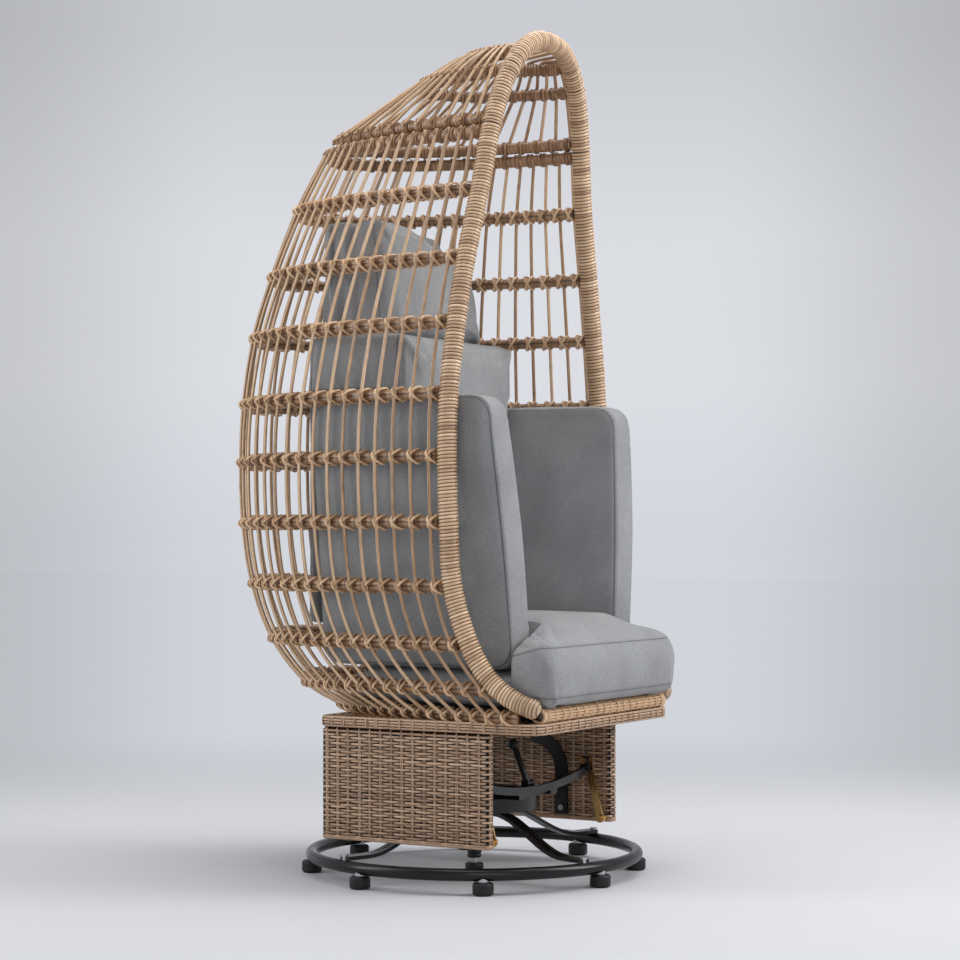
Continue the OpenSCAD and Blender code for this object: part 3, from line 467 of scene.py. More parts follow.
# The pod's curves, as the frame has them
POD_TOP, POD_FOOT, POD_HALF_W, POD_BACK = 1518 * MM, 321 * MM, 290 * MM, 478 * MM
RIM_FRONT, RIM_SWEEP, RIM_R, HOOP_R, JOINT_R = 112 * MM, 165 * MM, 17.5 * MM, 10 * MM, 11 * MM
STRAND_R, GAP, DECK_TOP = 3.3 * MM, 0.3 * MM, 299 * MM
RIM_SHARES = np.array([
    [0.879, 1.000, 0.000], [0.903, 0.703, 0.016], [0.924, 0.442, 0.044], [0.959, 0.236, 0.094],
    [0.983, 0.061, 0.177], [1.000, 0.030, 0.271], [1.000, 0.012, 0.366], [0.969, 0.000, 0.457],
    [0.893, 0.012, 0.561], [0.797, 0.036, 0.658], [0.676, 0.079, 0.760], [0.583, 0.130, 0.8565],
    [0.480, 0.186, 0.923], [0.345, 0.230, 0.968], [0.180, 0.255, 0.994], [0.000, 0.260, 1.000]])
SEAM_ROW, RIM_STEPS = 11, 24
HOOP_HEIGHTS = np.append(POD_FOOT + (POD_TOP - POD_FOOT) * np.array(
    [0.974, 0.9415, 0.8667, 0.8463, 0.7598, 0.6575, 0.5614, 0.457, 0.3659, 0.2707, 0.1771, 0.0936, 0.0292]),
    DECK_TOP + HOOP_R * math.cos(math.pi / 6) + GAP)
HOOP_BACK = POD_BACK * np.array(
    [0, 0.199, 0.577, 0.627, 0.764, 0.874, 0.954, 0.992, 1.0, 0.99, 0.946, 0.854, 0.705, 0.533])
DOME_BASE, SHELL_TOP, HOOPS = 2, 3, len(HOOP_HEIGHTS)
SHELL_STRANDS, DOME_STRANDS = 37, 29
END_ROOM, FOOT_ROOM = 0.75, 2.4

rim_rows = np.stack([POD_HALF_W * RIM_SHARES[:, 0], -RIM_FRONT - RIM_SWEEP * RIM_SHARES[:, 1],
                     POD_FOOT + (POD_TOP - POD_FOOT) * RIM_SHARES[:, 2]], 1)
rim_path = catmull(np.concatenate([rim_rows, rim_rows[-2::-1] * [-1, 1, 1]]), RIM_STEPS)
half = rim_path[:(len(rim_rows) - 1) * RIM_STEPS + 1]
half_along = unit(np.gradient(half, axis=0))
half_lean = np.abs(half_along[:, 1]) / np.linalg.norm(half_along[:, [0, 2]], axis=1)


def at_height(z, values):
    return np.interp(z, half[:, 2], values)


HOOP_HALF_W = at_height(HOOP_HEIGHTS, half[:, 0])
HOOP_FORE = at_height(HOOP_HEIGHTS, half[:, 1])
HOOP_REACH = HOOP_BACK - HOOP_FORE
HOOP_LEAN = at_height(HOOP_HEIGHTS, half_lean)


def hoop_radius(j):
    return JOINT_R if j in (DOME_BASE, SHELL_TOP) else HOOP_R


def hoop_point(j, angle):
    angle = np.asarray(angle, float)
    return np.stack([-HOOP_HALF_W[j] * np.cos(angle), HOOP_FORE[j] + HOOP_REACH[j] * np.sin(angle),
                     np.full(angle.shape, HOOP_HEIGHTS[j])], -1)


def hoop_start(j):
    out = min(2 * RIM_R * (1.2 if j == HOOPS - 1 else 0.97),
              RIM_R * math.hypot(1, HOOP_LEAN[j]) + hoop_radius(j) * HOOP_LEAN[j])
    return math.asin(out / HOOP_REACH[j])


ARC = np.linspace(0, math.pi, 61)
arc_lengths = [lengths(hoop_point(j, ARC)) for j in range(HOOPS)]


def hoop_angle(j, share):
    """Angle on a hoop that lies this share of its length from the left end"""
    return np.interp(share, arc_lengths[j] / arc_lengths[j][-1], ARC)


def on_hoop(j, share):
    return hoop_point(j, hoop_angle(j, share))


def hoop_direction(j, share):
    angle = hoop_angle(j, share)
    return unit(np.stack([HOOP_HALF_W[j] * np.sin(angle), HOOP_REACH[j] * np.cos(angle), 0 * angle], -1))


def outward(j, share, low, high):
    """Directions away from the pod, square to the hoop and to the line between its neighbours"""
    down = np.broadcast_to([0.0, 0, -1], np.shape(share) + (3,)) if j == HOOPS - 1 else (
        on_hoop(min(j + 1, high), share) - on_hoop(max(j - 1, low), share))
    return unit(np.cross(hoop_direction(j, share), down))


def strand_shares(j, count):
    """Where the strands cross a hoop; the outer ones stay clear of the rim, most at its foot"""
    room = 2 * RIM_R * END_ROOM * (FOOT_ROOM if j == HOOPS - 1 else 1)
    first = max(END_ROOM / (count - 1 + 2 * END_ROOM), room / arc_lengths[j][-1])
    return first + (1 - 2 * first) * np.arange(count) / (count - 1)


def strand_points(j, count, low, high):
    share = strand_shares(j, count)
    out = outward(j, share, low, high)
    return on_hoop(j, share) + out * (hoop_radius(j) + STRAND_R + GAP), out


# Wicker
RIM_PITCH, RIM_DEPTH = 6.1 * MM, 2.9 * MM
HOOP_SAMPLES = 160
LONG_END, SHORT_END, RIM_END = 8.6 * MM, 3.3 * MM, 24 * MM
KNOT_STEP, KNOT_WIDTH = 0.35, 0.004
# half sizes of the lashings' strand: off the hoop, along it
CROSS_STRAND, LOOP_STRAND = (1.75 * MM, 2.5 * MM), (1.1 * MM, 1.7 * MM)


def wound(bundle, path, start, radius, pitch, depth, sides, samples, grooves=(), bands=(), tips=(),
          turn_shade=1.0):
    """A rod wound tightly with round strand: a helix of ridges round the path.

    grooves hold (angle, width, depth), bands (place, width, rise, painted shade), tips the rounded ends"""
    path, at = evenly(path, pitch / samples)
    normal = carried(path, start)
    turn = full_turn(sides)
    place = at[:, None] / pitch - turn[None] / (2 * math.pi)
    number = np.floor(place).astype(int)
    cross = 2 * (place - number) - 1
    ridge = np.sqrt(np.clip(1 - 0.97 * np.abs(cross) ** 2, 0, 1))
    count = number.max() - number.min() + 1
    # A turn is a little thicker or thinner than its neighbours, and some are paler
    fat = chance.normal(0, 0.08, count)[number - number.min()]
    tone = np.clip(chance.normal(0.5, 0.24, count), 0, 1)[number - number.min()]
    r = radius - depth * (1 - ridge) + depth * fat * ridge
    # painted shade in the gaps between turns
    painted_shade_and_knots = turn_shade * np.clip((np.abs(cross) - 0.6) / 0.3, 0, 1)
    for spot, width, rise, shade in bands:
        inside = np.exp(-((at - spot) / width) ** 4)[:, None]
        r = r + rise * inside
        painted_shade_and_knots = np.maximum(painted_shade_and_knots, inside * shade)
    for g, width, deep in grooves:
        away = np.abs((turn - g + math.pi) % (2 * math.pi) - math.pi)
        cut = np.exp(-(away / width) ** 2)[None]
        r = r - deep * cut
        # painted shade in the groove
        painted_shade_and_knots = np.maximum(painted_shade_and_knots, 0.85 * cut)
    for tip in tips:
        near = np.clip(np.abs(at - tip) / (0.75 * radius), 0, 1)
        r = r * np.sqrt(np.clip(1 - (1 - near) ** 2, 0.01, 1))[:, None]
    around = turn[None] * radius + number * 2 * math.pi * radius
    grain = np.stack([around, cross * pitch / 2 + 0 * around, 0 * around], -1)
    bundle.sweep(path, normal, r[None], r[None], sides, tone=tone[None], painted_shade_and_knots=painted_shade_and_knots[None], grain=grain[None])


def make_rim(look):
    """Three runs; thick turns bind the dome's run at its ends and at the dome's hoop"""
    seam = SEAM_ROW * RIM_STEPS
    last = len(rim_path) - 1
    for node, low, high in (("left_rim", 0, seam), ("dome_rim", seam, last - seam),
                            ("right_rim", last - seam, last)):
        path = rim_path[low:high + 1]
        at = lengths(path)
        length, tips = at[-1], ()
        if node == "dome_rim":
            spot = at[np.argmin(np.abs(path[:len(path) // 2, 2] - HOOP_HEIGHTS[1]))]
            bands = []
            # thick turns, each with a groove of painted shade beside it
            for place, step in ((spot, 7 * MM), (length - spot, -7 * MM)):
                bands += [(place, 4 * MM, 1.4 * MM, 0), (place + step, 1.8 * MM, -2 * MM, 0.9)]
            bands += [(4 * MM, 4 * MM, 1.2 * MM, 0), (length - 4 * MM, 4 * MM, 1.2 * MM, 0)]
        else:
            end = 0 if node == "left_rim" else length
            # darker towards the free end; a groove with painted shade where the run meets the dome's
            bands = [(end, 60 * MM, 0, 0.3), (length - end, 3 * MM, -1.2 * MM, 0.9)]
            tips = (end,)
        b = Bundle()
        wound(b, path, (1, 0, 0), RIM_R, RIM_PITCH, RIM_DEPTH, 28, 8, bands=bands, tips=tips)
        b.piece(node + "_wound", look, "seat", [node])


HOOP_NODES = ["crown_hoop", "dome_hoop", "dome_base_hoop", "shell_top_hoop"] + [
    "shell_hoop_%d" % i for i in range(1, 11)]


def make_hoops(rod, cane):
    """Hoops wound with thin cane; the shell's lower ones have grooves and crossed lashings"""
    for j, node in enumerate(HOOP_NODES):
        start = hoop_start(j)
        angle = np.linspace(start, math.pi - start, HOOP_SAMPLES)
        b = Bundle()
        lashed = j > SHELL_TOP
        # the grooves of the lashed hoops get painted shade, and the gaps between turns get it at 0.45
        # strength
        grooves = [(g, 0.12, 1.4 * MM) for g in (0, math.pi)] if lashed else []
        r = hoop_radius(j)
        pitch, depth = (4.4 * MM, 0.4 * MM) if lashed else (8 * MM, 0.9 * MM)
        wound(b, hoop_point(j, angle), (1, 0, 0), r - 0.2 * MM, pitch, depth, 24, 5, grooves, turn_shade=0.45)
        b.piece(node + "_wound", rod, "seat", [node])

        low, high = (0, DOME_BASE) if j <= DOME_BASE else (SHELL_TOP, HOOPS - 1)
        count = DOME_STRANDS if j <= DOME_BASE else SHELL_STRANDS
        share = strand_shares(j, count)
        w = outward(j, share, low, high)
        u = hoop_direction(j, share)
        hoop = on_hoop(j, share), u, np.cross(w, u), w
        b = Bundle()
        if lashed:
            lash_cross(b, hoop, r)
        else:
            lash_loop(b, hoop, r)
        b.piece(node + "_lashings", cane if lashed else rod, "seat")


def lash_turn(b, hoop, phi, stand, height, slide, strand):
    """One closed turn of strand round a hoop and its uprights. It stands out from the hoop's middle,
    reaches that height above and below it, and slides along the hoop."""
    centre, u, v, w = [part[:, None] for part in hoop]
    path = (centre + w * (stand * np.cos(phi))[:, None] + v * (height * np.sin(phi))[:, None]
            + u * slide[..., None])
    b.sweep(path, path - centre, *strand, closed=True)


def lash_cross(b, hoop, r):
    """Two strands that cross over the upright on the outside and meet behind the hoop"""
    phi = full_turn(28)
    front = np.clip(np.cos(phi), 0, 1) ** 1.3
    for sign, lift in ((1, 0.0), (-1, 2.6 * MM)):
        jitter = chance.normal(0, 0.6 * MM, (len(hoop[0]), 1))
        stand = r + 1.9 * MM + (2 * STRAND_R + 0.5 * MM + lift) * front
        slide = sign * (7.6 * MM + jitter) * np.sin(phi)
        lash_turn(b, hoop, phi, stand, r + 2.6 * MM, slide, CROSS_STRAND)


def lash_loop(b, hoop, r):
    """One turn round the hoop beside the strand's end, and one over it"""
    phi = full_turn(24)
    front = np.clip(np.cos(phi), 0, 1) ** 2
    for shift, lean, over in ((-4.4 * MM, 0.8 * MM, 0.15), (0.9 * MM, -1.2 * MM, 1.0)):
        jitter = chance.normal(0, 0.4 * MM, (len(hoop[0]), 1))
        stand = r + 1.1 * MM + over * (2 * STRAND_R + 0.3 * MM) * front
        slide = shift + jitter + lean * np.sin(phi)
        lash_turn(b, hoop, phi, stand, r + 1.4 * MM, slide, LOOP_STRAND)


def round_strand(b, points, start):
    """One upright strand with shallow grooves along it, painted shade in the grooves and darker knot rings
    """
    path, at = evenly(catmull(points, 8), 9 * MM)
    turn = full_turn(15)
    groove = np.clip(1 - np.abs((turn * 3 / (2 * math.pi) + 0.5) % 1 - 0.5) / 0.24, 0, 1)
    r = STRAND_R * (1 - 0.2 * groove)
    ring = np.zeros(len(at))
    for spot in chance.uniform(0, at[-1], max(1, int(at[-1] / KNOT_STEP))):
        ring += np.exp(-((at - spot) / KNOT_WIDTH) ** 2)
    r = r[None, None] * (1 + 0.05 * ring[None, :, None])
    # painted shade in the grooves, and the knot rings' own darker colour
    painted_shade_and_knots = np.maximum(0.35 * np.clip(ring, 0, 1)[:, None], 0.6 * groove[None])
    b.sweep(path, carried(path, start), r, r, 15, painted_shade_and_knots=painted_shade_and_knots[None])


def strand_grid(count, low, high):
    """Points of the strands between two hoops, strand by strand, and their first normals"""
    grid, outs = zip(*[strand_points(j, count, low, high) for j in range(low, high + 1)])
    return np.stack(grid, 1), outs[0]


def beyond(a, b, more):
    """A point past a, coming from b"""
    return a + unit(a - b) * more


def make_strands(look):
    """Shell strands in three parts, then the dome's; every other dome strand runs up to the rim"""
    grid, outs = strand_grid(SHELL_STRANDS, SHELL_TOP, HOOPS - 1)
    side = SHELL_STRANDS // 3
    for name, low, high in (("right", 0, side), ("back", side, SHELL_STRANDS - side),
                            ("left", SHELL_STRANDS - side, SHELL_STRANDS)):
        b = Bundle()
        for i in range(low, high):
            p = grid[i]
            head, tail = beyond(p[0], p[1], LONG_END), beyond(p[-1], p[-2], SHORT_END)
            round_strand(b, np.vstack([head, p, tail]), outs[i])
        b.piece(name + "_strands_round", look, "seat", [name + "_shell_strands"])

    grid, outs = strand_grid(DOME_STRANDS, 0, DOME_BASE)
    last = len(rim_path) - 1
    crown = (len(RIM_SHARES) - 3) * RIM_STEPS
    b = Bundle()
    share = strand_shares(0, DOME_STRANDS)
    for i in range(1, DOME_STRANDS + 1):
        p = grid[i - 1].copy()
        tail = beyond(p[-1], p[-2], LONG_END)
        if i % 2 or i < 3 or i > DOME_STRANDS - 2:
            head = beyond(p[0], p[1], SHORT_END)
        else:
            place = last - crown - (last - 2 * crown) * i / (DOME_STRANDS + 1)
            end = rim_path[int(round(place))]
            spot = share[i - 1]
            out = unit(np.cross(hoop_direction(0, spot), on_hoop(1, spot) - end))
            p[0] = on_hoop(0, spot) + out * (HOOP_R + STRAND_R + 2 * GAP)
            head = end - unit(end - p[0]) * RIM_END
        round_strand(b, np.vstack([head, p, tail]), outs[i - 1])
    b.piece("dome_strands_round", look, "seat", ["dome_strand_set"])


# Woven deck, rail and panels; of each strand half its thickness and half its width
ROW_STRAND, STAKE_STRAND, PANEL_TIE = (0.95 * MM, 2.05 * MM), (1.1 * MM, 1.35 * MM), (1.1 * MM, 1.7 * MM)
BAND_STRAND, DECK_TIE, SHEET_STRAND = (2.5 * MM, 2.2 * MM), (0.9 * MM, 1.25 * MM), (1.0 * MM, 3.3 * MM)
RAIL_STRAND, RAIL_TIE = (2.5 * MM, 2.45 * MM), (0.9 * MM, 1.15 * MM)
COLLAR_STRAND, CLOSING_STRAND = (1.1 * MM, 1.5 * MM), (1.0 * MM, 1.6 * MM)
STAKE_STEP = 22 * MM


def rounded_loop(x0, x1, y0, y1, radius, step):
    """Closed round-cornered loop in the plane, with outward normals"""
    r = radius
    low_x, high_x, low_y, high_y = x0 + r, x1 - r, y0 + r, y1 - r
    pts = []
    for cx, cy, a0 in ((high_x, low_y, -90), (high_x, high_y, 0), (low_x, high_y, 90),
                       (low_x, low_y, 180)):
        for k in range(9):
            a = math.radians(a0 + 90 * k / 8)
            pts.append((cx + r * math.cos(a), cy + r * math.sin(a), math.cos(a), math.sin(a)))
    pts.append(pts[0])
    p = np.array(pts)
    length = lengths(p[:, :2])
    count = int(round(length[-1] / step))
    at = np.linspace(0, length[-1], count, endpoint=False)
    out = np.stack([np.interp(at, length, p[:, k]) for k in range(4)], 1)
    normal = unit(np.concatenate([out[:, 2:], np.zeros((count, 1))], 1))
    return np.concatenate([out[:, :2], np.zeros((count, 1))], 1), normal


def core_band(b, points, normal, low, high):
    """Dark band of painted shade behind the strands of a closed edge, so that no light comes through"""
    corners = np.radians([45, 135, 225, 315])
    thick = 1.2 * MM
    loop = points - normal * thick + [0, 0, (low + high) / 2]
    b.sweep(loop, normal, thick * math.sqrt(2), (high - low) / 2 * math.sqrt(2), closed=True,
            painted_shade_and_knots=1.0, angles=corners)


def make_panels(look):
    """Side panels: rows of flat strand woven round upright pairs, with rolled edges"""
    row, sway_most = 5.2 * MM, 1.8 * MM
    x0, x1, y0, y1, z0, z1 = 0.220, 0.250, -0.172, 0.176, 0.077, 0.2785
    top = z1 - 6.5 * MM
    inset = sway_most + 1.0 * MM
    for name, sign in (("left", 1), ("right", -1)):
        b = Bundle()
        points, normal = rounded_loop(x0 + inset, x1 - inset, y0 + inset, y1 - inset, 9 * MM,
                                      STAKE_STEP / 8)
        stakes = 2 * int(round(len(points) / 8 / 2))
        phase = np.arange(len(points)) / len(points) * stakes * math.pi
        rows = int((top - z0 - 5 * MM) / row)
        z = z0 + 6 * MM + row * np.arange(rows)
        wave = np.cos(phase[None] + math.pi * (np.arange(rows) % 2)[:, None])
        sway = sway_most * np.where(wave > 0, np.abs(wave) ** 1.1, -np.abs(wave) ** 0.8)
        path = points[None] + normal[None] * sway[..., None]
        path = path + lifted(z)[:, None]
        uneven = chance.normal(0, 0.3 * MM, (rows, 1))
        path[..., 2] += uneven + 0.35 * MM * np.sin(phase * 0.31 + z[:, None] * 700)
        # painted shade where a row dives behind a stake
        painted_shade_and_knots = 0.12 * np.clip(0.3 - wave, 0, 1) + 0.4 * np.clip((-wave - 0.4) / 0.4, 0, 1)
        b.sweep(path, normal, *ROW_STRAND, closed=True, painted_shade_and_knots=painted_shade_and_knots[..., None])
        # each stake is a pair of strands that stand level with the rows
        up = np.linspace(z0 + 3 * MM, top, 8)
        spots = (np.arange(stakes) / stakes * len(points)).astype(int)
        beside = np.cross([0, 0, 1.0], normal[spots])
        for shift in (-1.5 * MM, 1.5 * MM):
            foot = points[spots] + beside * shift + normal[spots] * 0.5 * MM
            # the stakes are a little darker all along
            b.sweep(foot[:, None] + lifted(up), normal[spots][:, None], *STAKE_STRAND, painted_shade_and_knots=0.1)
        for edge, out, thick in ((z0 + 2.6 * MM, 0.4 * MM, 2.4 * MM),
                                 (z0 + 6.4 * MM, 1.2 * MM, 1.6 * MM), (top, 0.6 * MM, 2.1 * MM)):
            loop = points + normal * out + [0, 0, edge]
            b.sweep(loop, normal, 0.8 * thick, thick, closed=True)
        # short ties bridge the dark gap under the deck
        rise = np.linspace(-9 * MM, 6.2 * MM, 7)
        bulge = 1.7 * MM * np.sin(np.linspace(0.2, math.pi, 7))
        out = normal[spots][:, None]
        tie_path = points[spots][:, None] + out * (bulge + 1.0 * MM)[:, None] + lifted(top + rise)
        b.sweep(tie_path, out, *PANEL_TIE)
        core_band(b, points - normal * 2.6 * MM, normal, z0 + 1.5 * MM, z1)
        if sign < 0:
            b.points = [p * [-1, 1, 1] for p in b.points]
            b.quads = [q[:, ::-1] for q in b.quads]
            b.caps = [c[:, ::-1] for c in b.caps]
        b.piece(name + "_panel_woven", look, "seat", [name + "_panel_skin"])


def make_deck(look):
    """Deck: a bound band of four strands round the edge, woven sheets above and below"""
    half_w, front, rear, z0, z1, corner = 0.260, -0.277, 0.178, 0.279, 0.299, 30 * MM
    b = Bundle()
    inset = 3.0 * MM
    points, normal = rounded_loop(-half_w + inset, half_w - inset, front + inset, rear - inset,
                                  corner - inset, 5 * MM)
    for k in range(4):
        z = z0 + (2.5 + 5.0 * k) * MM
        ripple = 0.35 * MM * np.sin(np.arange(len(points)) * 1.16 + 2.0 * k)
        path = points + normal * ripple[:, None] + [0, 0, z]
        b.sweep(path, normal, *BAND_STRAND, closed=True)
    core_band(b, points - normal * 1.0 * MM, normal, z0 + 1.5 * MM, z1 - 1.5 * MM)
    ties = int(len(points) * 5 / 24)
    spots = (np.arange(ties) / ties * len(points)).astype(int)
    phi = full_turn(16)
    # the ties' rings are squared, to lie flat on the band
    fold, lift = [np.sign(v) * np.abs(v) ** 0.5 for v in (np.cos(phi), np.sin(phi))]
    along = np.cross([0, 0, 1], normal[spots])
    for shift in (-1.5 * MM, 1.5 * MM):
        centre = points[spots] - normal[spots] * 6 * MM + [0, 0, (z0 + z1) / 2] + along * shift
        path = (centre[:, None] + normal[spots][:, None] * (9.0 * MM * fold)[:, None]
                + lifted(9.4 * MM * lift))
        b.sweep(path, path - centre[:, None], *DECK_TIE, 6, closed=True)
    # woven sheets
    pitch = 7 * MM
    ys = np.arange(front + 12 * MM, rear - 12 * MM, pitch)
    xs = np.arange(-half_w + 11 * MM, half_w - 11 * MM, STAKE_STEP / 4)
    bend = math.pi / STAKE_STEP
    for z, face in ((z1 - 2.6 * MM, 1), (z0 + 2.6 * MM, -1)):
        path = np.zeros((len(ys), len(xs), 3))
        path[..., 0] = xs[None]
        path[..., 1] = ys[:, None]
        odd = (np.arange(len(ys)) % 2)[:, None]
        path[..., 2] = z + face * 1.0 * MM * np.cos(xs[None] * bend + math.pi * odd)
        # painted shade where a strand dips under its neighbours
        sunk = np.clip(-(path[..., 2] - z) * face / MM, 0, 1)
        b.sweep(path, [0, 0, float(face)], *SHEET_STRAND, 6, painted_shade_and_knots=sunk[..., None] * 0.5)
    side, above = 9 * MM, 3.2 * MM
    b.core_box((-half_w + side, front + side, z0 + above), (half_w - side, rear - side, z1 - above))
    b.piece("deck_woven", look, "seat", ["deck_skin"])


def make_rail(look):
    """Front rail: strands laid along it and bound at even steps, with a collar at each end"""
    end, y, z, r = 0.2371, -0.277 + 0.0125, 0.299 + 0.0125, 0.0125
    b = Bundle()
    xs = np.linspace(-end, end, 90)
    for k, a in enumerate(full_turn(13)):
        out = np.array([0, math.cos(a), math.sin(a)])
        path = np.zeros((len(xs), 3))
        path[:, 0] = xs
        path += out * (r - 2.1 * MM) + [0, y, z]
        path += out * (0.3 * MM * np.sin(xs * 190 + k))[:, None]
        b.sweep(path, out, *RAIL_STRAND)
    core = r - 3 * MM
    # a dark core of painted shade under the strands
    b.sweep([[-end, y, z], [0, y, z], [end, y, z]], [0, 0, 1.0], core, core, 12, painted_shade_and_knots=1.0)
    b.piece("front_rail_bound", look, "seat", ["front_rail"])
    b = Bundle()
    phi = full_turn(24)
    ring = np.stack([0 * phi, np.cos(phi), np.sin(phi)], 1)

    def rings(at, radius, normal, strand):
        path = ring[None] * radius + np.stack([at, 0 * at + y, 0 * at + z], 1)[:, None]
        b.sweep(path, normal, *strand, 6, closed=True)

    ties = np.arange(-end + 18 * MM, end - 10 * MM, 26 * MM)
    for shift in (-1.2 * MM, 1.2 * MM):
        rings(ties + shift, r + 0.6 * MM, ring, RAIL_TIE)
    ends = np.concatenate([side * (end - 1.6 * MM - 2.6 * MM * np.arange(5)) for side in (-1, 1)])
    rings(ends, r + 0.5 * MM, ring, COLLAR_STRAND)
    # the strand winds in to close each end
    caps = np.array([(side * (end - 0.9 * MM - 0.3 * MM * k), (r - 1.6 * MM) * k / 4)
                     for side in (-1, 1) for k in range(1, 5)])
    rings(caps[:, 0], caps[:, 1, None, None], [1.0, 0, 0], CLOSING_STRAND)
    b.piece("rail_ties", look, "seat", ["rail_collars"])


# Cushions
SEAT_HALF_W, SEAT_FRONT, SEAT_REAR, SEAT_T, SEAT_Z = 262 * MM, 298 * MM, 165 * MM, 150 * MM, 324.3 * MM
SEAT_PRESS, ARM_T, ARM_H, ARM_DEPTH, ARM_SPREAD = 90 * MM, 90 * MM, 484 * MM, 420 * MM, 52 * MM
ARM_TOE, BACK_H, BACK_T = math.tan(math.radians(5)), 528 * MM, 230 * MM
HEAD_HALF_W, HEAD_H = 158 * MM, 218 * MM
SEAT_TOP = SEAT_Z + SEAT_T
ARM_Z = SEAT_TOP - SEAT_PRESS + GAP
ARM_IN_X = SEAT_HALF_W - ARM_T
ARM_FRONT = SEAT_FRONT - ARM_T
ARM_LEAN = 0.28 * ARM_T
BACK_FRONT_Y = 0.25 * ARM_T
BACK_LOW = SEAT_TOP - 0.107 * SEAT_T
CUSHION_PINCH = 0.05 * SEAT_T
HEAD_Z = BACK_LOW + BACK_H - CUSHION_PINCH / 2
HEAD_Y = BACK_FRONT_Y + 0.6 * BACK_T
# what the soft forms do beyond their solids; the arm's step and bow are in millimetres
SEAT_APRON, SEAT_DROOP, SEAT_FULL = 20 * MM, 9 * MM, 1.03
ARM_PUFF, ARM_STEP, ARM_BOW = 8 * MM, 5, 8
HEAD_HOLLOW, HEAD_FALL, HEAD_LOBE, HEAD_FOLD = 9 * MM, 50 * MM, 9 * MM, 5 * MM
SEAM_DEPTH, PUCKER, UNEVEN = 1.3 * MM, 0.9 * MM, 0.8 * MM
rise_order = np.argsort(HOOP_HEIGHTS)


def ramp(v, low, high):
    """0 below low and 1 above high, with a smooth rise between"""
    t = np.clip((v - low) / (high - low), 0, 1)
    return t * t * (3 - 2 * t)


def soft_min(v, limit, width=4 * MM):
    """v below the limit, held at it above, rounded over the width"""
    over = (v - limit) / width
    return limit + width * (over - np.logaddexp(0, over))


def mirrored_min(v, limit, width):
    """soft_min of the size of v, whatever its sign"""
    return np.sign(v) * soft_min(np.abs(v), limit, width)


def pod_room(y, z):
    """How far out from the middle the pod leaves room"""
    wide = at_height(z, half[:, 0])
    fore = at_height(z, half[:, 1])
    reach = np.interp(z, HOOP_HEIGHTS[rise_order], HOOP_REACH[rise_order])
    curve = np.sqrt(1 - np.clip((y - fore) / reach, 0, 0.97) ** 2)
    return wide * curve - RIM_R - 2 * GAP


def arm_puff(back, rise):
    """How much fuller the middle of an arm cushion's inner face is"""
    return ARM_PUFF * np.clip(4 * back * (1 - back), 0, 1) * ramp(rise, 0, 0.35) * (1 - ramp(rise, 0.75, 1))


def arm_inner(y, z):
    """How far from the middle the inner face of an arm cushion is"""
    back, rise = (y + ARM_FRONT) / ARM_DEPTH, (z - ARM_Z) / ARM_H
    return (ARM_IN_X + ARM_SPREAD * (rise - 0.5) - np.maximum(0, y + ARM_FRONT) * ARM_TOE
            - arm_puff(back, rise))


def seat_place(p):
    """Pressed down at its sides by the arm cushions, which stand on it"""
    y = p[:, 1] + (SEAT_REAR - SEAT_FRONT) / 2
    full_z = SEAT_Z + SEAT_T / 2 + p[:, 2]
    from_inner = np.abs(p[:, 0]) * np.minimum(1, pod_room(y, full_z) / SEAT_HALF_W)
    from_inner = from_inner - arm_inner(y, ARM_Z + 60 * MM)
    press = (SEAT_PRESS - 2 * MM) * ramp(from_inner, -5 * MM, -1 * MM) * ramp(
        y, -ARM_FRONT - 12 * MM, -ARM_FRONT - 8 * MM)
    # in front of an arm cushion's foot the seat gives way too
    apron = ramp(from_inner, -45 * MM, 45 * MM) * ramp(y, -ARM_FRONT - 75 * MM, -ARM_FRONT - 5 * MM)
    press = np.maximum(press, SEAT_APRON * apron)
    # the top falls away towards its sides
    droop = SEAT_DROOP * ramp(np.abs(p[:, 0]), 140 * MM, SEAT_HALF_W) * ramp(p[:, 2], 27 * MM, 75 * MM)
    z = SEAT_Z + (p[:, 2] - droop + SEAT_T / 2) * (SEAT_FULL - SEAT_FULL * press / SEAT_T)
    x = p[:, 0] * soft_min(pod_room(y, z) / SEAT_HALF_W, 1.0, 0.01)
    return np.stack([x, y, z], 1)


def arm_place(p):
    """Leans inward at its foot and turns in at its rear, and gives way to the pod's hoops"""
    back = p[:, 0] / ARM_DEPTH + 0.5
    rise = p[:, 1] / ARM_H + 0.5
    y = -ARM_FRONT + ARM_DEPTH * back + ARM_LEAN * (1 - back) * rise
    # the front stands a little forward, and bows out between its ends
    bow = ARM_STEP + ARM_BOW * np.sin(math.pi * np.clip(rise, 0, 1))
    y = y - bow * MM * ramp(back, 0.2, 0)
    z = ARM_Z + ARM_H * rise
    x = ARM_IN_X + ARM_T / 2 + p[:, 2] + ARM_SPREAD * (rise - 0.5) - ARM_DEPTH * back * ARM_TOE
    x = x - arm_puff(back, rise) * ramp(-p[:, 2], 0, 40 * MM)
    return np.stack([soft_min(x, pod_room(y, z)), y, z], 1)


def back_place(p):
    """Squeezed between the arm cushions, wider above and behind them"""
    y = BACK_FRONT_Y + BACK_T / 2 - p[:, 2]
    z = BACK_LOW + BACK_H / 2 + p[:, 1]
    above = ramp(z, ARM_Z + ARM_H - 2 * MM, ARM_Z + ARM_H + 20 * MM)
    behind = ramp(y, ARM_DEPTH - ARM_FRONT + 1 * MM, ARM_DEPTH - ARM_FRONT + 16 * MM)
    limit = arm_inner(y, z) - 3 * MM
    held = mirrored_min(p[:, 0], limit, 5 * MM)
    free = mirrored_min(p[:, 0], pod_room(y, z) - 2 * MM, 4 * MM)
    return np.stack([held + (free - held) * np.maximum(above, behind), y, z], 1)


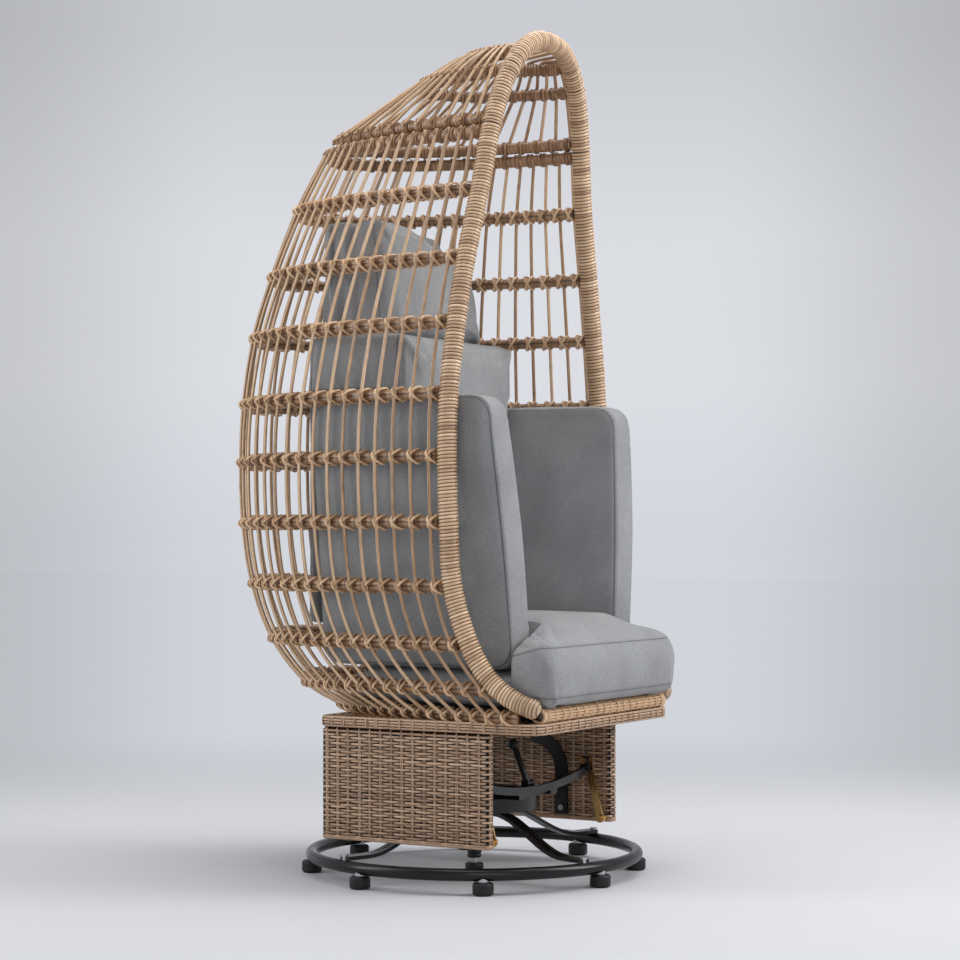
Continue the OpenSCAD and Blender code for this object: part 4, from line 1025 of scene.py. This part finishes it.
def head_place(p):
    """Slumps forward at its foot and back at its top, with a hollow along the top and crumpled sides"""
    rise = p[:, 1] / HEAD_H + 0.5
    front = ramp(p[:, 2], -10 * MM, 40 * MM)
    y = HEAD_Y - p[:, 2] * (1 - 0.28 * rise * (p[:, 2] > 0)) + 0.004 * np.sin(31 * p[:, 0])
    hollow = HEAD_HOLLOW * np.exp(-(p[:, 2] / (20 * MM)) ** 2)
    hollow = hollow + HEAD_FALL * front * ramp(p[:, 0], -110 * MM, 140 * MM)
    z = HEAD_Z + HEAD_H * rise - hollow * np.clip(rise, 0, 1) ** 3
    # the rear lobe stands higher to the far side
    lobe = np.exp(-((p[:, 0] - 62 * MM) / (46 * MM)) ** 2) * ramp(-p[:, 2], 0, 35 * MM)
    z = z + HEAD_LOBE * lobe * np.clip(rise, 0, 1) ** 3
    side = ramp(np.abs(p[:, 0]), 0.6 * HEAD_HALF_W, HEAD_HALF_W) * (1 - front)
    fold = np.sin(p[:, 2] / (6.5 * MM) + 1.6 * np.sin(p[:, 1] / (34 * MM)))
    x = p[:, 0] - np.sign(p[:, 0]) * side * HEAD_FOLD * (1 + fold)
    x = x * (1 - (0.1 + 0.1 * front) * ramp(rise, 0.35, 1) * (x > 0))
    return np.stack([x, y, z], 1)


def boxed_form(size, low, high, corner, crown, pinch, bulge):
    """Closed form of a boxed cushion. size holds its half sizes; low and high each give the height
    of a seam, the height where the side starts to round over, and how far in that reaches.
    The seams pull in by the pinch between the corners, the band swells out by the bulge."""
    a, b, c = size
    arc = np.linspace(0, math.pi / 2, 7)
    run = np.linspace(-1, 1, 19)[1:-1]
    inner = min(a, b)

    def face(start, reach, dome):
        rows = [(reach * (1 - math.cos(t)), start + (c - dome - start) * math.sin(t)) for t in arc[1:]]
        for t in np.linspace(0, 1, 9)[1:-1]:
            rows.append((reach + (inner - reach) * t, c - dome * (1 - t) ** 2))
        return rows

    a, b = a - bulge, b - bulge
    rows = [(e, -w) for e, w in reversed(face(low[1], low[2], crown[0]))]
    rows += [(0.0, w) for w in np.linspace(-low[1], high[1], 6)]
    rows += face(high[1], high[2], crown[1])

    def outline(e, pull):
        r = max(min(corner + 0.4 * e, 0.92 * (inner - e)), 2 * MM)
        corners = [(u * (a - e - r), v * (b - e - r)) for u, v in ((1, 1), (-1, 1), (-1, -1), (1, -1))]

        def on_corner(q, angle):
            u, v = corners[q % 4]
            return u + r * math.cos(angle), v + r * math.sin(angle)

        pts = []
        for q in range(4):
            pts += [on_corner(q, t + q * math.pi / 2) for t in arc]
            angle = (q + 1) * math.pi / 2
            last, first = pts[-1], on_corner(q + 1, angle)
            for t in run:
                f, drawn = (t + 1) / 2, pull * (1 - t * t)
                pts.append((last[0] + (first[0] - last[0]) * f - drawn * math.cos(angle),
                            last[1] + (first[1] - last[1]) * f - drawn * math.sin(angle)))
        return pts

    points, count = [], 0
    for e, w in rows:
        near_seam = min(1, (w / (high[0] if w > 0 else low[0])) ** 2)
        pull = pinch * near_seam - bulge * (1 - near_seam)
        loop = outline(min(e, inner * 0.97), pull)
        count = len(loop)
        points += [(u, v, w) for u, v in loop]
    faces = []
    for i in range(len(rows) - 1):
        for k in range(count):
            n = (k + 1) % count
            faces.append((i * count + k, i * count + n, (i + 1) * count + n, (i + 1) * count + k))
    faces.append(tuple(range(count - 1, -1, -1)))
    faces.append(tuple(range((len(rows) - 1) * count, len(rows) * count)))
    me = bpy.data.meshes.new("form")
    me.from_pydata(points, [], faces)
    return me


def read_points(me):
    co = np.empty(len(me.vertices) * 3, np.float32)
    me.vertices.foreach_get("co", co)
    return co.reshape(-1, 3).astype(float)


def write_points(me, co):
    me.vertices.foreach_set("co", co.astype(np.float32).reshape(-1))
    me.update()


def set_field(me, name, values):
    me.attributes.new(name, "FLOAT", "POINT").data.foreach_set("value", values.astype(np.float32))


def get_field(me, name):
    out = np.empty(len(me.vertices), np.float32)
    me.attributes[name].data.foreach_get("value", out)
    return out.astype(float)


# Forms in millimetres: half sizes, the lower and upper (seam, start of the rounding, its reach),
# the plan's corner, the faces' crowns, how far the seams pull in and the band between them swells
# out, and the most that the simulation may add
SEAT_FORM = dict(size=(264, 234, 75), low=(58, 62, 12), high=(27, -10, 80), corner=24,
                 crown=(1, 4), pinch=1, bulge=1, cap=6)
ARM_FORM = dict(size=(210, 242, 45), low=(35, 32, 15), high=(35, 32, 15), corner=36,
                crown=(6, 6), pinch=2, bulge=2, cap=7)
BACK_FORM = dict(size=(203, 264, 115), low=(94, 94, 14), high=(94, 106, 7), corner=8,
                 crown=(9, 2), pinch=2, bulge=2, cap=8)
HEAD_FORM = dict(size=(162, 109, 90), low=(50, 48, 20), high=(60, 74, 8), corner=7,
                 crown=(8, 3), pinch=3, bulge=2, cap=8)
CUSHIONS = [("seat_padded", "seat_cushion", SEAT_FORM, seat_place, False),
            ("left_arm_padded", "left_arm_cushion", ARM_FORM, arm_place, False),
            ("right_arm_padded", "right_arm_cushion", ARM_FORM, arm_place, True),
            ("back_padded", "back_cushion", BACK_FORM, back_place, False),
            ("head_padded", "head_cushion", HEAD_FORM, head_place, False)]
VOXEL = 6 * MM
SHRINK = 1 * MM
SWELL_FRAMES = 20
PRESSURE = 4.0
SEAM_HOLD = 0.75


def add_swell(ob, seam):
    """Cloth that the air inside swells, held back at its seams"""
    group = ob.vertex_groups.new(name="seams")
    held = np.flatnonzero(np.abs(seam) < 0.55 * VOXEL)
    group.add([int(i) for i in held], SEAM_HOLD, "REPLACE")
    cloth = ob.modifiers.new("cloth", "CLOTH")
    settings = cloth.settings
    settings.quality, settings.mass = 5, 0.2
    settings.tension_stiffness, settings.compression_stiffness = 12, 6
    settings.shear_stiffness, settings.bending_stiffness = 5, 0.4
    settings.use_pressure, settings.uniform_pressure_force = True, PRESSURE
    settings.vertex_group_mass, settings.pin_stiffness = "seams", 0.6
    settings.effector_weights.gravity = 0
    cloth.point_cache.frame_start, cloth.point_cache.frame_end = 1, SWELL_FRAMES


def applied(ob):
    """The mesh that an object's modifiers give; the object goes"""
    me = bpy.data.meshes.new_from_object(ob.evaluated_get(bpy.context.evaluated_depsgraph_get()))
    bpy.data.objects.remove(ob)
    return me


def make_cushions(look):
    """Boxed forms, swollen together by one simulation, then capped, seamed and put in place"""
    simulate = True
    work = []
    for name, node, form, place, mirrored in CUSHIONS:
        size = [v * MM - SHRINK for v in form["size"]]
        low, high, crown = [[v * MM for v in form[key]] for key in ("low", "high", "crown")]
        corner, pinch, bulge = [form[key] * MM for key in ("corner", "pinch", "bulge")]
        ob = added(name + "_form", boxed_form(size, low, high, corner, crown, pinch, bulge))
        mod = ob.modifiers.new("voxels", "REMESH")
        mod.mode, mod.voxel_size, mod.adaptivity = "VOXEL", VOXEL, 0.0
        me = applied(ob)
        start = read_points(me)
        ob = added(name + "_cloth", me)
        # negative on the band between the seams, positive on the faces
        seam = np.abs(start[:, 2] - (high[0] - low[0]) / 2) - (high[0] + low[0]) / 2
        if simulate:
            add_swell(ob, seam)
        work.append((ob, start, seam))
    if simulate:
        for step in range(1, SWELL_FRAMES + 1):
            scene.frame_set(step)
    for (name, node, form, place, mirrored), (ob, start, seam) in zip(CUSHIONS, work):
        me = applied(ob)
        moved = read_points(me) - start
        far = np.linalg.norm(moved, axis=1, keepdims=True)
        local = start + moved * np.minimum(1, form["cap"] * MM / np.maximum(far, 1e-9))
        write_points(me, local)
        set_field(me, "seam", seam)
        me.polygons.foreach_set("use_smooth", np.full(len(me.polygons), True))
        fine = added(name + "_fine", me)
        mod = fine.modifiers.new("fine", "SUBSURF")
        mod.levels = mod.render_levels = 1
        me = applied(fine)
        size = np.array(form["size"]) * MM
        local = read_points(me)
        local = mirrored_min(local, size + 2.5 * MM, 2 * MM)
        world = place(local + seam_dents(local, get_field(me, "seam"), size))
        if mirrored:
            world *= [-1, 1, 1]
        write_points(me, world)
        if mirrored:
            me.flip_normals()
        me.name = name
        me.materials.clear()
        me.materials.append(look)
        ob = place_piece(name, me, "seat", [node])
    if simulate:
        scene.frame_set(1)


def seam_dents(p, d, size):
    """The seam draws the cloth in, with small puckers beside it and folds at the corners"""
    along = np.arctan2(p[:, 1] / size[1], p[:, 0] / size[0])
    run = along * (size[0] + size[1]) / 1.2
    share = np.abs(p) / size
    edge = np.maximum(share[:, 0], share[:, 1])
    corner = np.clip((share[:, 0] + share[:, 1] - 1.6) * 3, 0, 1)
    near = np.exp(-(d / (3 * MM)) ** 2)
    beside = np.exp(-np.abs(d) / (14 * MM)) * np.clip((edge - 0.75) * 5, 0, 1)
    pucker = np.sin(run / (4.2 * MM) + 2.4 * np.sin(run / (31 * MM))) * np.sin(run / (17 * MM) + 1.3)
    broad = np.sin(p[:, 0] / (47 * MM) + 1.3 * np.sin(p[:, 1] / (60 * MM)))
    broad = broad * np.sin(p[:, 1] / (53 * MM) + 1)
    deep = -SEAM_DEPTH * near * (edge > 0.6)
    deep = deep + PUCKER * pucker * beside * (1 - near) * (0.5 + 1.2 * corner)
    deep = deep + UNEVEN * broad
    out = np.stack([p[:, 0] / size[0] ** 2, p[:, 1] / size[1] ** 2, p[:, 2] / size[2] ** 2 * 0.35], 1)
    return unit(out) * deep[:, None]


# The frame's own pieces
CRISP_ANGLE = math.radians(32)
BEVEL, BEVEL_ANGLE = 0.0008, math.radians(40)


def smooth_group():
    """Shades smooth, with sharper edges than the crisp angle left as they are"""
    group = bpy.data.node_groups.new("smooth_by_angle", "GeometryNodeTree")
    for way in ("INPUT", "OUTPUT"):
        group.interface.new_socket("Geometry", in_out=way, socket_type="NodeSocketGeometry")
    g = Graph(group, "")
    source = g.node("NodeGroupInput").outputs[0]
    angle = g.node("GeometryNodeInputMeshEdgeAngle").outputs["Unsigned Angle"]
    blunt = g.node("FunctionNodeCompare", (angle, CRISP_ANGLE), operation="LESS_THAN").outputs[0]
    edges = g.node("GeometryNodeSetShadeSmooth", {"Geometry": source, "Shade Smooth": blunt}, domain="EDGE")
    faces = g.node("GeometryNodeSetShadeSmooth", {"Geometry": edges.outputs[0]})
    g.node("NodeGroupOutput", (faces.outputs[0],))
    return group


def dress_frame(looks):
    """The frame's meshes get their slot's material, smooth shading and softened edges"""
    slots = {s["node"]: s["material_slot"] for s in frame["record"]["subparts"]}
    group = smooth_group()
    for name, ob in nodes.items():
        ob.data.materials.clear()
        ob.data.materials.append(looks[slots[name]])
        smooth = ob.modifiers.new("smooth", "NODES")
        smooth.node_group = group
        bevel = ob.modifiers.new("worn_edges", "BEVEL")
        bevel.width, bevel.segments, bevel.limit_method = BEVEL, 2, "ANGLE"
        bevel.angle_limit = BEVEL_ANGLE
        bevel.harden_normals = True


def main():
    scene.view_settings.view_transform = "Standard"
    ahead, side = set_camera()
    set_lamps(ahead, side)
    set_world(side)
    set_floor(ahead, side)
    # colours are 8-bit sRGB; of a cane its light, middle and dark tones and the painted shade of its
    # grooves
    cane = cane_look("rattan_strand", (244, 210, 171), (207, 169, 130), (148, 111, 80), (48, 32, 21), 0.34)
    rod = cane_look("rattan_rod", (198, 158, 120), (154, 117, 84), (102, 75, 52), (34, 24, 17), 0.38)
    woven = cane_look("rattan_weave", (212, 180, 148), (172, 138, 109), (120, 92, 70), (46, 34, 25), 0.44)
    black = painted_look("black_powder_coat", (9, 9, 11), 0.24)
    rubber = painted_look("black_rubber", (20, 20, 22), 0.5, 1500, 0.0001)
    brass = metal_look("yellow_brass", (224, 186, 122), (192, 150, 94), 0.22)
    steel = metal_look("grey_steel", (196, 196, 198), (146, 146, 148), 0.3)
    cloth = cloth_look("grey_cloth", (159, 160, 161), (126, 127, 128))

    dress_frame({"black_paint": black, "black_rubber": rubber, "bright_steel": steel, "brass": brass,
                 "woven_rattan": woven, "wrapped_rattan": cane, "grey_cloth": cloth})
    make_rim(cane)
    make_hoops(rod, cane)
    make_strands(cane)
    make_panels(woven)
    make_deck(woven)
    make_rail(cane)
    make_cushions(cloth)


main()
